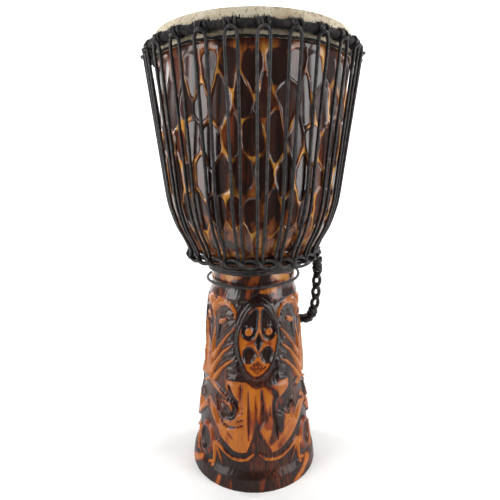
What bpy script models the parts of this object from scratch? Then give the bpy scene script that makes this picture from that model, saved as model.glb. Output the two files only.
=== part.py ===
"""A goblet drum: a carved wooden shell, a laced goatskin head, a roped waist and a braided handle.

Metres, +Z up. The origin is on the ground under the middle of the foot, and the front faces -Y.
Angles round the drum are turned from the front towards +X.
"""

import math
import random

import bmesh
import bpy
import numpy as np
from mathutils import Vector

# The turned shell: a flared foot, a straight neck and a bowl
FOOT_RADIUS = 0.0945
FOOT_TOP_RADIUS = 0.0685
FOOT_TOP = 0.252
FOOT_TAPER = 1.3
STEP_HEIGHT = 0.026
NECK_RADIUS = 0.060
NECK_LENGTH = 0.052
NECK_HEIGHT = FOOT_TOP + NECK_LENGTH
BOWL_LENGTH = 0.296
DRUM_HEIGHT = NECK_HEIGHT + BOWL_LENGTH
RIM_RADIUS = 0.1255
BOWL_ROUNDNESS = 6.0
BOWL_FLARE = 0.115
BOWL_WALL = 0.012
FOOT_WALL = 0.018
NECK_WALL = 0.016
NECK_BORE_RADIUS = NECK_RADIUS - NECK_WALL

# The carving on the foot, drawn on a flat panel that is wrapped round it
PANELS = 3
PANEL_TURN = math.radians(4.5)
PANEL_HALF = 75.0
PANEL_TALL = 252.0
CARVING_DEPTH = 0.006
CARVING_COLUMNS = 264
CARVING_ROWS = 130
CARVING_TRIANGLES = 2500

# The adze scoops on the bowl
SCOOPS_ROUND = 32
SCOOP_ROWS = 6
SCOOP_DEPTH = 0.0016
SCOOP_POINT = 0.22
SCOOP_WANDER = 0.24
SCOOPS_BOTTOM = NECK_HEIGHT + 0.026
SCOOPS_TOP = DRUM_HEIGHT - 0.034
JOIN = 0.010
JOIN_SUNK = 0.0015

# The skin and the rings, placed down from the top or up from the neck
SKIN = 0.0010
SKIRT_LENGTH = 0.0325
SKIRT_BOTTOM = DRUM_HEIGHT - SKIRT_LENGTH
RIM_ROUNDING = 0.004
GAP = 0.0003
CROWN_RING_HEIGHT = DRUM_HEIGHT - 0.020
CROWN_RING_WIDE = 0.012
CROWN_RING_TALL = 0.008
FLESH_RING_HEIGHT = CROWN_RING_HEIGHT - 0.0095
FLESH_RING_THICK = 0.0032
BOTTOM_RING_HEIGHT = NECK_HEIGHT + 0.0195
BOTTOM_RING_THICK = 0.006

# The rope
ROPE = 0.004
ROPE_SLACK = 0.0009
LACED_PAIRS = 26
LACING_TURN = math.radians(4.4)
PAIR_SPREAD_TOP = 0.013
PAIR_SPREAD_BOTTOM = 0.006
ARCH_NARROWS = 0.7
TURNS_AT_BOTTOM_RING = (-50, 0)
TOUCHES_ON_BOWL = (0.30, 0.64, 1.0)
TURNS_AT_CROWN_RING = (-20, 45, 78)
LACING_TOUCHES_BOWL = NECK_HEIGHT + 0.096

# The spare rope wound round the waist
TIGHT_TURNS = 3
TURN_STEPS = 24
TURN_PITCH = 0.0046
WINDING_TOP = NECK_HEIGHT + 0.0085
SLACK = 0.0032
SLACK_BULGE = 0.0022
SLACK_TURN_DROP = 0.0115
LOWEST_AT = 0.55

# The braided handle, from the ring at the right, down and behind the foot, to the waist at the back
BRAID = 0.012
BRAID_POINT_GAP = 2 * BRAID
HANDLE_ROUTE = (
    (0.0940, 0.0040, 0.3110),
    (0.0945, 0.0050, 0.2900),
    (0.0938, 0.0065, 0.2620),
    (0.0925, 0.0100, 0.2350),
    (0.0880, 0.0210, 0.2130),
    (0.0780, 0.0400, 0.2020),
    (0.0600, 0.0590, 0.1990),
    (0.0355, 0.0735, 0.2050),
    (0.0120, 0.0795, 0.2210),
    (0.0000, 0.0795, 0.2440),
    (-0.0030, 0.0760, 0.2660),
    (-0.0035, 0.0725, 0.2810),
)

# How finely the round pieces are divided, and how far cutting shapes reach past what they cut
ROUND_SIDES = 44
RING_SIDES = 6
BORE_SIDES = 36
CURVE_STEPS = 20
FOOT_BORE_STEPS = (0.0, 0.35, 0.7, 1.0)
BOWL_BORE_STEPS = (0.08, 0.16, 0.28, 0.5, 1.0)
BLANK_SPARE = 0.030
RIM_SPARE = 0.005
FOOT_SPARE = 0.008
SHELL_TOP = DRUM_HEIGHT - SKIN - GAP

BURNT_WOOD = ("burnt_wood", (0.075, 0.034, 0.018), 0.38)
GOATSKIN = ("goatskin", (0.62, 0.52, 0.38), 0.62)
WRAPPED_RING = ("cloth_wrapped_ring", (0.012, 0.011, 0.012), 0.85)
BLACK_ROPE = ("black_rope", (0.017, 0.016, 0.018), 0.70)


def clear_scene():
    for thing in list(bpy.data.objects):
        bpy.data.objects.remove(thing)


def finish_of(name, colour, roughness):
    material = bpy.data.materials.new(name)
    material.use_nodes = True
    shader = material.node_tree.nodes["Principled BSDF"]
    shader.inputs["Base Color"].default_value = (*colour, 1.0)
    shader.inputs["Roughness"].default_value = roughness
    shader.inputs["Metallic"].default_value = 0.0
    material.diffuse_color = (*colour, 1.0)
    return material


def place(name, data, finish):
    thing = bpy.data.objects.new(name, data)
    bpy.context.scene.collection.objects.link(thing)
    if finish:
        data.materials.append(finish_of(name + "_" + finish[0], finish[1], finish[2]))
    return thing


def solid(name, points, faces, finish=None):
    """A closed mesh with its faces pointing out."""
    data = bpy.data.meshes.new(name)
    data.from_pydata(points, [], faces)
    work = bmesh.new()
    work.from_mesh(data)
    bmesh.ops.recalc_face_normals(work, faces=work.faces)
    work.to_mesh(data)
    work.free()
    thing = place(name, data, finish)
    data.shade_smooth()
    data.set_sharp_from_angle(angle=math.radians(40))
    return thing


def cutter(thing):
    thing.hide_render = True
    thing.display_type = "WIRE"
    return thing


def round_point(angle, radius, height):
    return Vector((radius * math.sin(angle), -radius * math.cos(angle), height))


def ease(value):
    share = np.clip(value, 0.0, 1.0)
    return share * share * (3.0 - 2.0 * share)


# The outline of the shell, and the bore inside it


def outline(height):
    """Outer radius of the plain turned shell at a height."""
    low = np.clip(1.0 - height / FOOT_TOP, 0.0, None)
    foot = FOOT_TOP_RADIUS + (FOOT_RADIUS - FOOT_TOP_RADIUS) * low**FOOT_TAPER
    foot = foot + (NECK_RADIUS - FOOT_TOP_RADIUS) * ease((height - FOOT_TOP) / STEP_HEIGHT)
    up = np.clip((height - NECK_HEIGHT) / (SHELL_TOP - NECK_HEIGHT), 0.0, 1.0)
    swell = (1.0 - BOWL_FLARE) * (1.0 - (1.0 - up) ** BOWL_ROUNDNESS) + BOWL_FLARE * up
    return foot + (RIM_RADIUS - NECK_RADIUS) * swell


def slope(height):
    """Angle of the outline from the vertical."""
    step = 0.0005
    return math.atan2(float(outline(height + step) - outline(height - step)), 2 * step)


def beside_shell(height, away):
    """Radius and height of a point that far out from the shell, square to its surface."""
    lean = slope(height)
    return float(outline(height)) + away * math.cos(lean), height - away * math.sin(lean)


def bore(height):
    """Inner radius of the shell at a height."""
    if height < NECK_HEIGHT:
        widening = (FOOT_RADIUS - FOOT_WALL - NECK_BORE_RADIUS) * (1 - height / NECK_HEIGHT) ** FOOT_TAPER
        return NECK_BORE_RADIUS + widening
    inner = float(outline(height)) - BOWL_WALL / math.cos(slope(height))
    return max(NECK_BORE_RADIUS, inner)


# The carving, in panel units: u across from the middle of a panel, v up from the ground.
# It is a set of strokes. Each stop of a stroke is a place across and up, and a half width.

SCROLL = ((79, 146, 10), (79, 200, 8.5), (81, 230, 7), (77, 247, 8), (66, 259, 7.5), (41, 256, 4),
          (34, 241, 2.6))
LEAVES = (
    ((70, 179, 5), (57, 200, 3.4), (46, 214, 2.8), (33, 228, 1.6)),
    ((73, 157, 5.5), (62, 176, 3.8), (52, 190, 3.2), (38, 202, 1.8)),
    ((66, 149, 5), (57, 162, 3.8), (46, 174, 3.2), (33, 183, 1.6)),
)
LEAF_HOLLOWS = (
    ((70, 208, 3.5), (67, 232, 5.5), (60, 246, 4), (50, 250, 2.5)),
    ((64, 184, 2), (52, 202, 3.5), (38, 217, 4.5)),
    ((64, 166, 1.5), (50, 183, 3), (38, 192, 4)),
)
THIGH = ((82, 117, 8), (65, 100, 6.5), (54, 85, 6.5), (41, 71, 7), (25, 61, 7))
ELBOW = ((84, 150, 3.5), (70, 141, 3.4), (56, 133, 3), (43, 125, 2))
APRON_TOP, APRON_HALF, SHOULDER, HIP = 151.0, 27.0, 20.0, 28.0
FLUTES = (
    ((-13, 138, 2), (-12.5, 105, 4), (-12, 72, 2)),
    ((3.5, 141, 2), (5, 120, 5), (4, 99, 7), (0, 87, 3.5)),
    ((18, 124, 1.4), (19.5, 104, 4), (22.5, 88, 4.6), (23, 71, 2.4)),
    ((-2, 89, 0.8), (-3, 74, 5.5), (-3.5, 58, 10)),
)
CURL_HOLLOW = ((-55, 117, 7), (-46, 110, 13), (-39, 108, 11.5))
CURL = ((-52, 113, 4), (-43, 104, 5.5), (-36, 103, 4))
OVAL_HOLLOW = ((28, 113, 7.5), (38, 121, 9.5), (52, 131, 5.5), (59, 135, 2.5))
BORDER_SHIFT = 3.0
BORDER_GROOVE = ((1, 57, 2.5), (8, 51.5, 4), (19, 48.5, 4.6), (29, 51, 5), (44, 63, 5), (56, 75, 5),
                 (72, 94, 5))
BORDER_RIDGE = ((3, 52, 1.6), (11, 44, 2.8), (20, 41.5, 2.6), (29, 42, 2.2), (40, 48, 2.6), (54, 58, 3.6))
LEGS = (
    ((92, 24, 5), (76, 37, 4.4), (57, 54, 5)),
    ((57, 55, 4), (55.5, 36, 3), (57, 22, 2.4)),
    ((53, 51, 2.2), (46, 37, 1.8), (40, 24, 1.2)),
)
PIT_MIDDLE, PIT_HALF_WIDE, PIT_HALF_TALL, PIT_RIM = 54.0, 11.0, 18.0, 6.0
MASK_MIDDLE, MASK_UP, MASK_DOWN, MASK_HALF, MASK_POINT, MASK_LEAN = 215.0, 54.0, 62.0, 37.0, 1.75, 0.05
MASK_HOLLOWS = (
    ((6.5, 251, 5), (10.5, 242, 8.6), (15, 230, 11.4), (15.5, 222, 10)),
    ((2.4, 198, 1.8), (9, 196, 8.2), (14.5, 191, 11.2), (14, 186, 10)),
)
NOSE_MIDDLE, NOSE_HALF_WIDE, NOSE_HALF_TALL = 211.0, 5.2, 13.0
EYE = (15.0, 223.5)
EYE_RADIUS = 5.2
GROUND = -0.8


def stroke(across, up, stops):
    """How far each place is outside a stroke."""
    nearest = np.full(np.shape(across), 1e9)
    for (u0, v0, w0), (u1, v1, w1) in zip(stops, stops[1:]):
        du, dv = u1 - u0, v1 - v0
        share = np.clip(((across - u0) * du + (up - v0) * dv) / (du * du + dv * dv), 0.0, 1.0)
        outside = np.hypot(across - u0 - share * du, up - v0 - share * dv) - w0 - share * (w1 - w0)
        nearest = np.minimum(nearest, outside)
    return nearest


def lift(level, outside, top=0.0, edge=3.0):
    """The carving with a form raised from its ground, with rounded edges."""
    return np.maximum(level, GROUND + (top - GROUND) * ease(-outside / edge))


def cut(level, outside, floor=-1.0, edge=2.5):
    """The carving with a form cut down to a floor."""
    return level + np.minimum(floor - level, 0.0) * ease(-outside / edge)


def scrolls_and_apron(level, u, v, side, across):
    level = lift(level, stroke(side, v, SCROLL), 0.0, 5.5)
    for stops in LEAF_HOLLOWS:
        level = cut(level, stroke(side, v, stops), -1.0, 3.5)
    for stops in LEAVES:
        level = lift(level, stroke(side, v, stops), -0.05)
    wide = APRON_HALF + SHOULDER * ease((v - 122.0) / 20.0) + HIP * ease((112.0 - v) / 24.0)
    groove = np.interp(across, [stop[0] for stop in BORDER_GROOVE], [stop[1] for stop in BORDER_GROOVE])
    field = np.maximum(side - wide, np.maximum(v - APRON_TOP, groove - v))
    level = lift(level, field, -0.05, 4.0)
    level = lift(level, stroke(side, v, THIGH), 0.0, 6.0)
    level = lift(level, stroke(side, v, ELBOW))
    for stops in FLUTES:
        level = cut(level, stroke(u, v, stops), -0.75)
    level = cut(level, stroke(u, v, CURL_HOLLOW), -1.0, 3.5)
    level = lift(level, stroke(u, v, CURL), -0.3)
    return cut(level, stroke(u, v, OVAL_HOLLOW), -1.0, 4.0)


def border_and_legs(level, v, side, across):
    level = cut(level, stroke(across, v, BORDER_GROOVE), -1.0, 3.5)
    level = lift(level, stroke(across, v, BORDER_RIDGE), -0.25)
    for stops in LEGS:
        level = lift(level, stroke(across, v, stops), -0.15)
    pit = np.hypot((side - PANEL_HALF) / PIT_HALF_WIDE, (v - PIT_MIDDLE) / PIT_HALF_TALL) - 1.0
    level = lift(level, pit * PIT_HALF_WIDE - PIT_RIM, -0.15, 5.0)
    return cut(level, pit * PIT_HALF_WIDE, -1.0, 4.0)


def mask(level, u, v):
    """The egg-shaped mask, with its brow wings, eyes, cheeks and nose."""
    side = np.abs(u - (v - MASK_MIDDLE) * MASK_LEAN)
    tall = np.where(v > MASK_MIDDLE, MASK_UP, MASK_DOWN)
    x, y = side / MASK_HALF, np.abs(v - MASK_MIDDLE) / tall
    egg = (x**MASK_POINT + y**MASK_POINT) ** (1 / MASK_POINT)
    level = cut(level, (egg - 1.07) * MASK_HALF, -0.95, 3.0)
    level = lift(level, (egg - 1.0) * MASK_HALF, 0.0, 5.0)
    for stops in MASK_HOLLOWS:
        level = cut(level, stroke(side, v, stops), -0.85, 3.2)
    nose = side / NOSE_HALF_WIDE + np.abs(v - NOSE_MIDDLE) / NOSE_HALF_TALL - 1.0
    level = cut(level, nose * NOSE_HALF_WIDE, -0.85, 2.0)
    eye = np.hypot(side - EYE[0], v - EYE[1]) - EYE_RADIUS
    return lift(level, eye, -0.12, 1.6)


def carved_radius(angle, height):
    """Radius of the carved foot, for arrays of angles and heights."""
    width = 2 * math.pi / PANELS
    turned_by = (angle - PANEL_TURN + width / 2) % width - width / 2
    u = turned_by / (width / 2) * PANEL_HALF
    v = height / FOOT_TOP * PANEL_TALL
    side = np.abs(u)
    across = np.abs(u + BORDER_SHIFT * (1.0 - (u / PANEL_HALF) ** 2))
    level = GROUND * ease((v - 16.0) / 12.0) * ease((267.0 - v) / 8.0)
    level = scrolls_and_apron(level, u, v, side, across)
    level = border_and_legs(level, v, side, across)
    return outline(height) + CARVING_DEPTH * mask(level, u, v)


# Making the shell


def closed_stack(rings, columns):
    """Faces of a closed solid whose rings of points lie one above the other."""
    faces = [tuple(range(columns))[::-1]]
    for row in range(rings - 1):
        base = row * columns
        for i in range(columns):
            j = (i + 1) % columns
            faces.append((base + i, base + j, base + columns + j, base + columns + i))
    faces.append(tuple(range((rings - 1) * columns, rings * columns)))
    return faces


def carved_foot():
    """The foot and neck with the carving, cut flat later where they stand and where the bowl begins."""
    angles = np.arange(CARVING_COLUMNS) * 2 * math.pi / CARVING_COLUMNS
    heights = np.linspace(-FOOT_SPARE, NECK_HEIGHT, CARVING_ROWS)
    grid_angle, grid_height = np.meshgrid(angles, heights)
    radius = carved_radius(grid_angle, np.clip(grid_height, 0.0, None))
    points = np.stack(
        (radius * np.sin(grid_angle), -radius * np.cos(grid_angle), grid_height), axis=-1
    ).reshape(-1, 3)
    faces = closed_stack(CARVING_ROWS, CARVING_COLUMNS)
    shell = solid("shell", points.tolist(), faces, BURNT_WOOD)
    simpler = shell.modifiers.new("simpler", "DECIMATE")
    simpler.ratio = CARVING_TRIANGLES / (2 * CARVING_COLUMNS * CARVING_ROWS)
    return shell


def bowl_rows():
    """Rings of points up the bowl: two sunk into the neck, then the corners of the scoops, then the rim."""
    chance = random.Random(7)
    columns = 2 * SCOOPS_ROUND
    step = 2 * math.pi / columns
    tall = (SCOOPS_TOP - SCOOPS_BOTTOM) / SCOOP_ROWS
    rows = []
    sunk_rows = ((NECK_HEIGHT - JOIN, JOIN_SUNK), (NECK_HEIGHT - JOIN_SUNK, JOIN_SUNK))
    plain_rows = ((NECK_HEIGHT + 2 * JOIN_SUNK, 0.0), ((NECK_HEIGHT + SCOOPS_BOTTOM) / 2, 0.0))
    for height, sunk in sunk_rows + plain_rows:
        rows.append([round_point(i * step, float(outline(height)) - sunk, height) for i in range(columns)])
    for line in range(SCOOP_ROWS + 1):
        free = 0.0 if line in (0, SCOOP_ROWS) else 1.0
        row = []
        for i in range(columns):
            point = free * SCOOP_POINT * (-1) ** (i + line)
            wander = free * SCOOP_WANDER
            height = SCOOPS_BOTTOM + tall * (line + point + wander * chance.uniform(-1, 1))
            angle = (i + wander * chance.uniform(-1, 1)) * step
            row.append(round_point(angle, float(outline(height)), height))
        rows.append(row)
    rows.append([round_point(i * step, RIM_RADIUS, SHELL_TOP + RIM_SPARE) for i in range(columns)])
    return rows


def scooped_bowl():
    """The outside of the bowl: rows of staggered six-sided scoops, each a little hollow."""
    rows = bowl_rows()
    columns = len(rows[0])
    first = len(rows) - SCOOP_ROWS - 2
    points = [point for row in rows for point in row]
    faces = []
    for face in closed_stack(len(rows), columns):
        line = min(face) // columns - first
        if len(face) > 4 or not 0 <= line < SCOOP_ROWS:
            faces.append(face)
    for line in range(SCOOP_ROWS):
        for i in range(columns):
            if (i + line) % 2 == 0:
                continue
            low = [(first + line) * columns + (i + k) % columns for k in (-1, 0, 1)]
            high = [n + columns for n in low]
            hexagon = low + high[::-1]
            middle = sum((points[n] for n in hexagon), Vector()) / 6
            inward = Vector((middle.x, middle.y, 0)).normalized() * SCOOP_DEPTH
            points.append(middle - inward)
            for a, b in zip(hexagon, hexagon[1:] + hexagon[:1]):
                faces.append((a, b, len(points) - 1))
    return cutter(solid("bowl_form", [tuple(p) for p in points], faces))


def turned(name, profile, sides, finish=None):
    """A ring-shaped solid turned from a closed outline of (radius, height) points."""
    points = [round_point(i * 2 * math.pi / sides, r, z) for i in range(sides) for r, z in profile]
    count = len(profile)
    faces = []
    for i in range(sides):
        j = (i + 1) % sides
        for k in range(count):
            m = (k + 1) % count
            faces.append((i * count + k, j * count + k, j * count + m, i * count + m))
    return solid(name, [tuple(p) for p in points], faces, finish)


def make_shell():
    """The bored blank that the carved outside is cut from gives the flat ends and the hollow."""
    shell = carved_foot()
    heights = [NECK_HEIGHT * share for share in FOOT_BORE_STEPS]
    heights += [NECK_HEIGHT + (SHELL_TOP - NECK_HEIGHT) * share for share in BOWL_BORE_STEPS]
    wide = max(RIM_RADIUS, FOOT_RADIUS) + BLANK_SPARE
    profile = [(bore(z), z) for z in heights] + [(wide, SHELL_TOP), (wide, 0.0)]
    blank = cutter(turned("bored_blank", profile, BORE_SIDES))
    for form, how in ((scooped_bowl(), "UNION"), (blank, "INTERSECT")):
        step = shell.modifiers.new(form.name, "BOOLEAN")
        step.operation = how
        step.solver = "EXACT"
        step.object = form
    return shell


# The skin and the rings


def fit_round(radius):
    """Corner radius of a many-sided hole that clears a round of this radius."""
    return radius / math.cos(math.pi / ROUND_SIDES)


SKIRT_INNER = fit_round(RIM_RADIUS) + GAP
SKIRT_OUTER = SKIRT_INNER + SKIN


def drum_head():
    """The skin: a flat disc that turns down over the rim to a skirt behind the rings."""
    inner = [(SKIRT_INNER, SKIRT_BOTTOM), (SKIRT_INNER, SHELL_TOP + GAP)]
    outer = [(SKIRT_OUTER, SKIRT_BOTTOM)]
    for turn in (0, 45, 90):
        t = math.radians(turn)
        r = SKIRT_OUTER - RIM_ROUNDING * (1 - math.cos(t))
        outer.append((r, DRUM_HEIGHT - RIM_ROUNDING * (1 - math.sin(t))))
    profile = inner[::-1] + outer
    count = len(profile)
    side = 2 * math.pi / ROUND_SIDES
    points = [round_point(i * side, r, z) for i in range(ROUND_SIDES) for r, z in profile]
    under = len(points)
    points += [Vector((0, 0, SHELL_TOP + GAP)), Vector((0, 0, DRUM_HEIGHT))]
    faces = []
    for i in range(ROUND_SIDES):
        a, b = i * count, (i + 1) % ROUND_SIDES * count
        for k in range(count - 1):
            faces.append((a + k, b + k, b + k + 1, a + k + 1))
        faces.append((a, b, under))
        faces.append((a + count - 1, b + count - 1, under + 1))
    return solid("drum_head", [tuple(p) for p in points], faces, GOATSKIN)


def ring(name, radius, height, wide, tall):
    """A ring round the drum, with a section of a few flat sides."""
    section = []
    for k in range(RING_SIDES):
        t = 2 * math.pi * k / RING_SIDES
        section.append((radius + wide / 2 * math.cos(t), height + tall / 2 * math.sin(t)))
    return turned(name, section, ROUND_SIDES, WRAPPED_RING)


CROWN_RING_RADIUS = fit_round(SKIRT_OUTER + GAP + CROWN_RING_WIDE / 2)
FLESH_RING_RADIUS = fit_round(SKIRT_OUTER + GAP + FLESH_RING_THICK / 2)
BOTTOM_RING_AT = beside_shell(BOTTOM_RING_HEIGHT, BOTTOM_RING_THICK / 2 + 2 * GAP)


def make_rings():
    ring("crown_ring", CROWN_RING_RADIUS, CROWN_RING_HEIGHT, CROWN_RING_WIDE, CROWN_RING_TALL)
    ring("flesh_ring", FLESH_RING_RADIUS, FLESH_RING_HEIGHT, FLESH_RING_THICK, FLESH_RING_THICK)
    radius, height = BOTTOM_RING_AT
    ring("bottom_ring", fit_round(radius), height, BOTTOM_RING_THICK, BOTTOM_RING_THICK)


# The rope


def rope(name, points, thick, fineness, closed=False):
    """A round rope or braid along the points, with filled ends."""
    data = bpy.data.curves.new(name, "CURVE")
    data.dimensions = "3D"
    data.bevel_depth = thick / 2
    data.bevel_resolution = fineness
    data.use_fill_caps = True
    line = data.splines.new("POLY")
    line.points.add(len(points) - 1)
    line.use_cyclic_u = closed
    line.use_smooth = True
    for knot, point in zip(line.points, points):
        knot.co = (*point, 1.0)
    return place(name, data, BLACK_ROPE)


def lacing():
    """One long rope: up, over the crown ring, down and under the bottom ring, pair after pair."""
    away = ROPE / 2 + GAP + ROPE_SLACK
    wide, tall = CROWN_RING_WIDE / 2 + away, CROWN_RING_TALL / 2 + away
    low_radius, low_height = BOTTOM_RING_AT
    low_away = BOTTOM_RING_THICK / 2 + away
    leg = []
    for turn in TURNS_AT_BOTTOM_RING:
        t = math.radians(turn)
        leg.append((low_radius + low_away * math.cos(t), low_height + low_away * math.sin(t)))
    for share in TOUCHES_ON_BOWL:
        leg.append(beside_shell(low_height + share * (LACING_TOUCHES_BOWL - low_height), away))
    for turn in TURNS_AT_CROWN_RING:
        t = math.radians(turn)
        leg.append((CROWN_RING_RADIUS + wide * math.cos(t), CROWN_RING_HEIGHT + tall * math.sin(t)))
    crest = leg.pop()
    top_half = PAIR_SPREAD_TOP / 2 / CROWN_RING_RADIUS
    low_half = PAIR_SPREAD_BOTTOM / 2 / low_radius
    halves = []
    for radius, height in leg:
        share = (height - low_height) / (CROWN_RING_HEIGHT - low_height)
        halves.append(low_half + (top_half - low_half) * min(1.0, max(0.0, share)))
    halves[-1] = ARCH_NARROWS * top_half
    pitch = 2 * math.pi / LACED_PAIRS
    points = []
    for pair in range(LACED_PAIRS):
        middle = LACING_TURN + pair * pitch
        points += [round_point(middle - half, *at) for half, at in zip(halves, leg)]
        points.append(round_point(middle, *crest))
        points += [round_point(middle + half, *at) for half, at in zip(halves[::-1], leg[::-1])]
        points.append(round_point(middle + pitch / 2, low_radius, low_height - low_away))
    return rope("lacing_rope", points, ROPE, 0, closed=True)


def waist_winding():
    """Spare rope: tight turns just under the bottom ring, then one slack turn that hangs lower."""
    away = ROPE / 2 + GAP + ROPE_SLACK
    points = []
    for i in range(TIGHT_TURNS * TURN_STEPS + 1):
        turn = i / TURN_STEPS
        radius, height = beside_shell(WINDING_TOP - TURN_PITCH * turn, away)
        radius = max(radius, NECK_RADIUS + away) / math.cos(math.pi / TURN_STEPS)
        points.append(round_point(math.pi - turn * 2 * math.pi, radius, height))
    start = WINDING_TOP - TURN_PITCH * TIGHT_TURNS
    for i in range(1, TURN_STEPS):
        share = i / TURN_STEPS
        sag = math.sin(math.pi / 2 * min(1.0, share / LOWEST_AT))
        loose = math.sin(math.pi / 2 * min(1.0, share * 2))
        bulge = math.sin(math.pi * share) * math.cos(2 * math.pi * share) ** 2
        radius = NECK_RADIUS + away + SLACK * loose + SLACK_BULGE * bulge
        height = start - SLACK_TURN_DROP * sag - TURN_PITCH * share
        points.append(round_point(math.pi - share * 2 * math.pi, radius, height))
    return rope("waist_winding", points, ROPE, 0)


def smooth_route(knots, gap):
    """Evenly spaced points on a smooth curve through the knots."""
    spots = [Vector(k) for k in knots]
    spots = [2 * spots[0] - spots[1]] + spots + [2 * spots[-1] - spots[-2]]
    fine = []
    for a, b, c, d in zip(spots, spots[1:], spots[2:], spots[3:]):
        for i in range(CURVE_STEPS):
            t = i / CURVE_STEPS
            bend = (2 * a - 5 * b + 4 * c - d) * t**2
            turn = (3 * b - a - 3 * c + d) * t**3
            fine.append(0.5 * (2 * b + (c - a) * t + bend + turn))
    fine.append(spots[-2])
    length = [0.0]
    for a, b in zip(fine, fine[1:]):
        length.append(length[-1] + (b - a).length)
    count = max(2, round(length[-1] / gap))
    route = []
    for i in range(count + 1):
        want = length[-1] * i / count
        k = max(n for n in range(len(fine)) if length[n] <= want + 1e-12)
        k = min(k, len(fine) - 2)
        route.append(fine[k].lerp(fine[k + 1], (want - length[k]) / (length[k + 1] - length[k])))
    return route


def braided_handle():
    return rope("braided_handle", smooth_route(HANDLE_ROUTE, BRAID_POINT_GAP), BRAID, 2)


clear_scene()
make_shell()
drum_head()
make_rings()
lacing()
waist_winding()
braided_handle()
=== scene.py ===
# %% [markdown]
# # A laced goblet drum
#
# The drum is one hollow log: a carved foot, a narrow neck and a wide bowl. Rings and one long rope pull a
# goatskin down over the rim. The measured solids of every part are loaded first and stay where they are, and
# the cells after that dress them with the wood, skin, cloth and rope that the eye sees.
#
# All sizes are in metres, +Z is up, and the front of the drum faces -Y. Angles round the drum are turned from
# the front towards +X.

# %% Load the solids
import math
import random

import bmesh
import bpy
import numpy as np
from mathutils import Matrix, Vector, noise


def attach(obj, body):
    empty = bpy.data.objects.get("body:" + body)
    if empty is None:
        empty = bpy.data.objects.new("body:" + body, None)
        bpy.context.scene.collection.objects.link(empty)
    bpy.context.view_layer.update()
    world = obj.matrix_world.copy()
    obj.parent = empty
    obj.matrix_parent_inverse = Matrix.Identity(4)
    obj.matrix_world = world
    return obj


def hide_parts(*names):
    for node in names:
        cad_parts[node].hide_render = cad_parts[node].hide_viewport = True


TURN = 2 * math.pi
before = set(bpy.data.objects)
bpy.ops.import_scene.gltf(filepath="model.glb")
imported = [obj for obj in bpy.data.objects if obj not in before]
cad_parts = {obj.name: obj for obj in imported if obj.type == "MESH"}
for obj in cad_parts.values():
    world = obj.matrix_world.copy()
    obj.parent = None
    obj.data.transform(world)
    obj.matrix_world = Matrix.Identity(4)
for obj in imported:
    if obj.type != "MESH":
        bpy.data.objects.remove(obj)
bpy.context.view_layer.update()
print("solids:", sorted(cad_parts))


def put_in_scene(name, data):
    thing = bpy.data.objects.new(name, data)
    bpy.context.scene.collection.objects.link(thing)
    return thing


# %% [markdown]
# ## The camera
#
# A camera is placed before anything is made, because it decides how fine each piece has to be. The picture was
# taken from close by, a little above the middle of the drum and tilted down, so the bowl looks wide and the
# foot looks small. The lens is worked out from the focal length in pixels that explains those proportions.

# %% Set the camera
PICTURE_PIXELS = 500
FOCAL_PIXELS = 410
SENSOR_MM = 36.0
CAMERA_SPOT = (-0.004, -0.5825, 0.437)
CAMERA_DOWN = math.radians(11.2)
CAMERA_ROLL = math.radians(0.28)

camera_data = bpy.data.cameras.new("studio_camera")
camera_data.sensor_width = SENSOR_MM
camera_data.lens = SENSOR_MM * FOCAL_PIXELS / PICTURE_PIXELS
camera = put_in_scene("studio_camera", camera_data)
camera.location = CAMERA_SPOT
camera.rotation_euler = (math.pi / 2 - CAMERA_DOWN, CAMERA_ROLL, 0.0)
bpy.context.scene.camera = camera
print("lens, mm:", round(camera_data.lens, 2))

# %% [markdown]
# ## Helpers for finishes
#
# A finish is a node tree. One function turns a colour from the usual sRGB hex form into the linear light that
# Blender computes with. Another adds a node, sets its properties, links or sets its sockets, and gives back the
# output that the next node takes, so that a finish below reads from top to bottom like a recipe.

# %% Colour and node helpers
SMOOTH = {"interpolation_type": "SMOOTHSTEP"}
COLOURS = {"data_type": "RGBA", "out": 2}


def linear(colour):
    """An sRGB hex colour as linear red, green, blue and alpha."""
    shares = [int(colour[i : i + 2], 16) / 255 for i in (1, 3, 5)]
    return [*(s / 12.92 if s <= 0.04045 else ((s + 0.055) / 1.055) ** 2.4 for s in shares), 1.0]


def add(tree, kind, sockets=None, out=0, **settings):
    """Adds a node and gives back one of its outputs. A socket takes a value, or the output that feeds it."""
    made = tree.nodes.new("ShaderNode" + kind)
    for name, value in settings.items():
        setattr(made, name, value)
    for socket, value in (sockets or {}).items():
        if isinstance(value, bpy.types.NodeSocket):
            tree.links.new(value, made.inputs[socket])
        else:
            made.inputs[socket].default_value = value
    return made.outputs[out]


def socket_of(shader, name):
    """The shader's socket for a name such as coat_weight."""
    return shader.inputs[name.replace("_", " ").title().replace("Ior", "IOR")]


def new_finish(name, **values):
    """A material with its shader's constant values set, and its tree and shader to build on."""
    material = bpy.data.materials.new(name)
    material.use_nodes = True
    shader = material.node_tree.nodes["Principled BSDF"]
    for socket, value in values.items():
        socket_of(shader, socket).default_value = value
    return material, material.node_tree, shader


def feed(tree, shader, **outputs):
    """Links outputs to the shader's sockets."""
    for socket, output in outputs.items():
        tree.links.new(output, socket_of(shader, socket))
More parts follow.
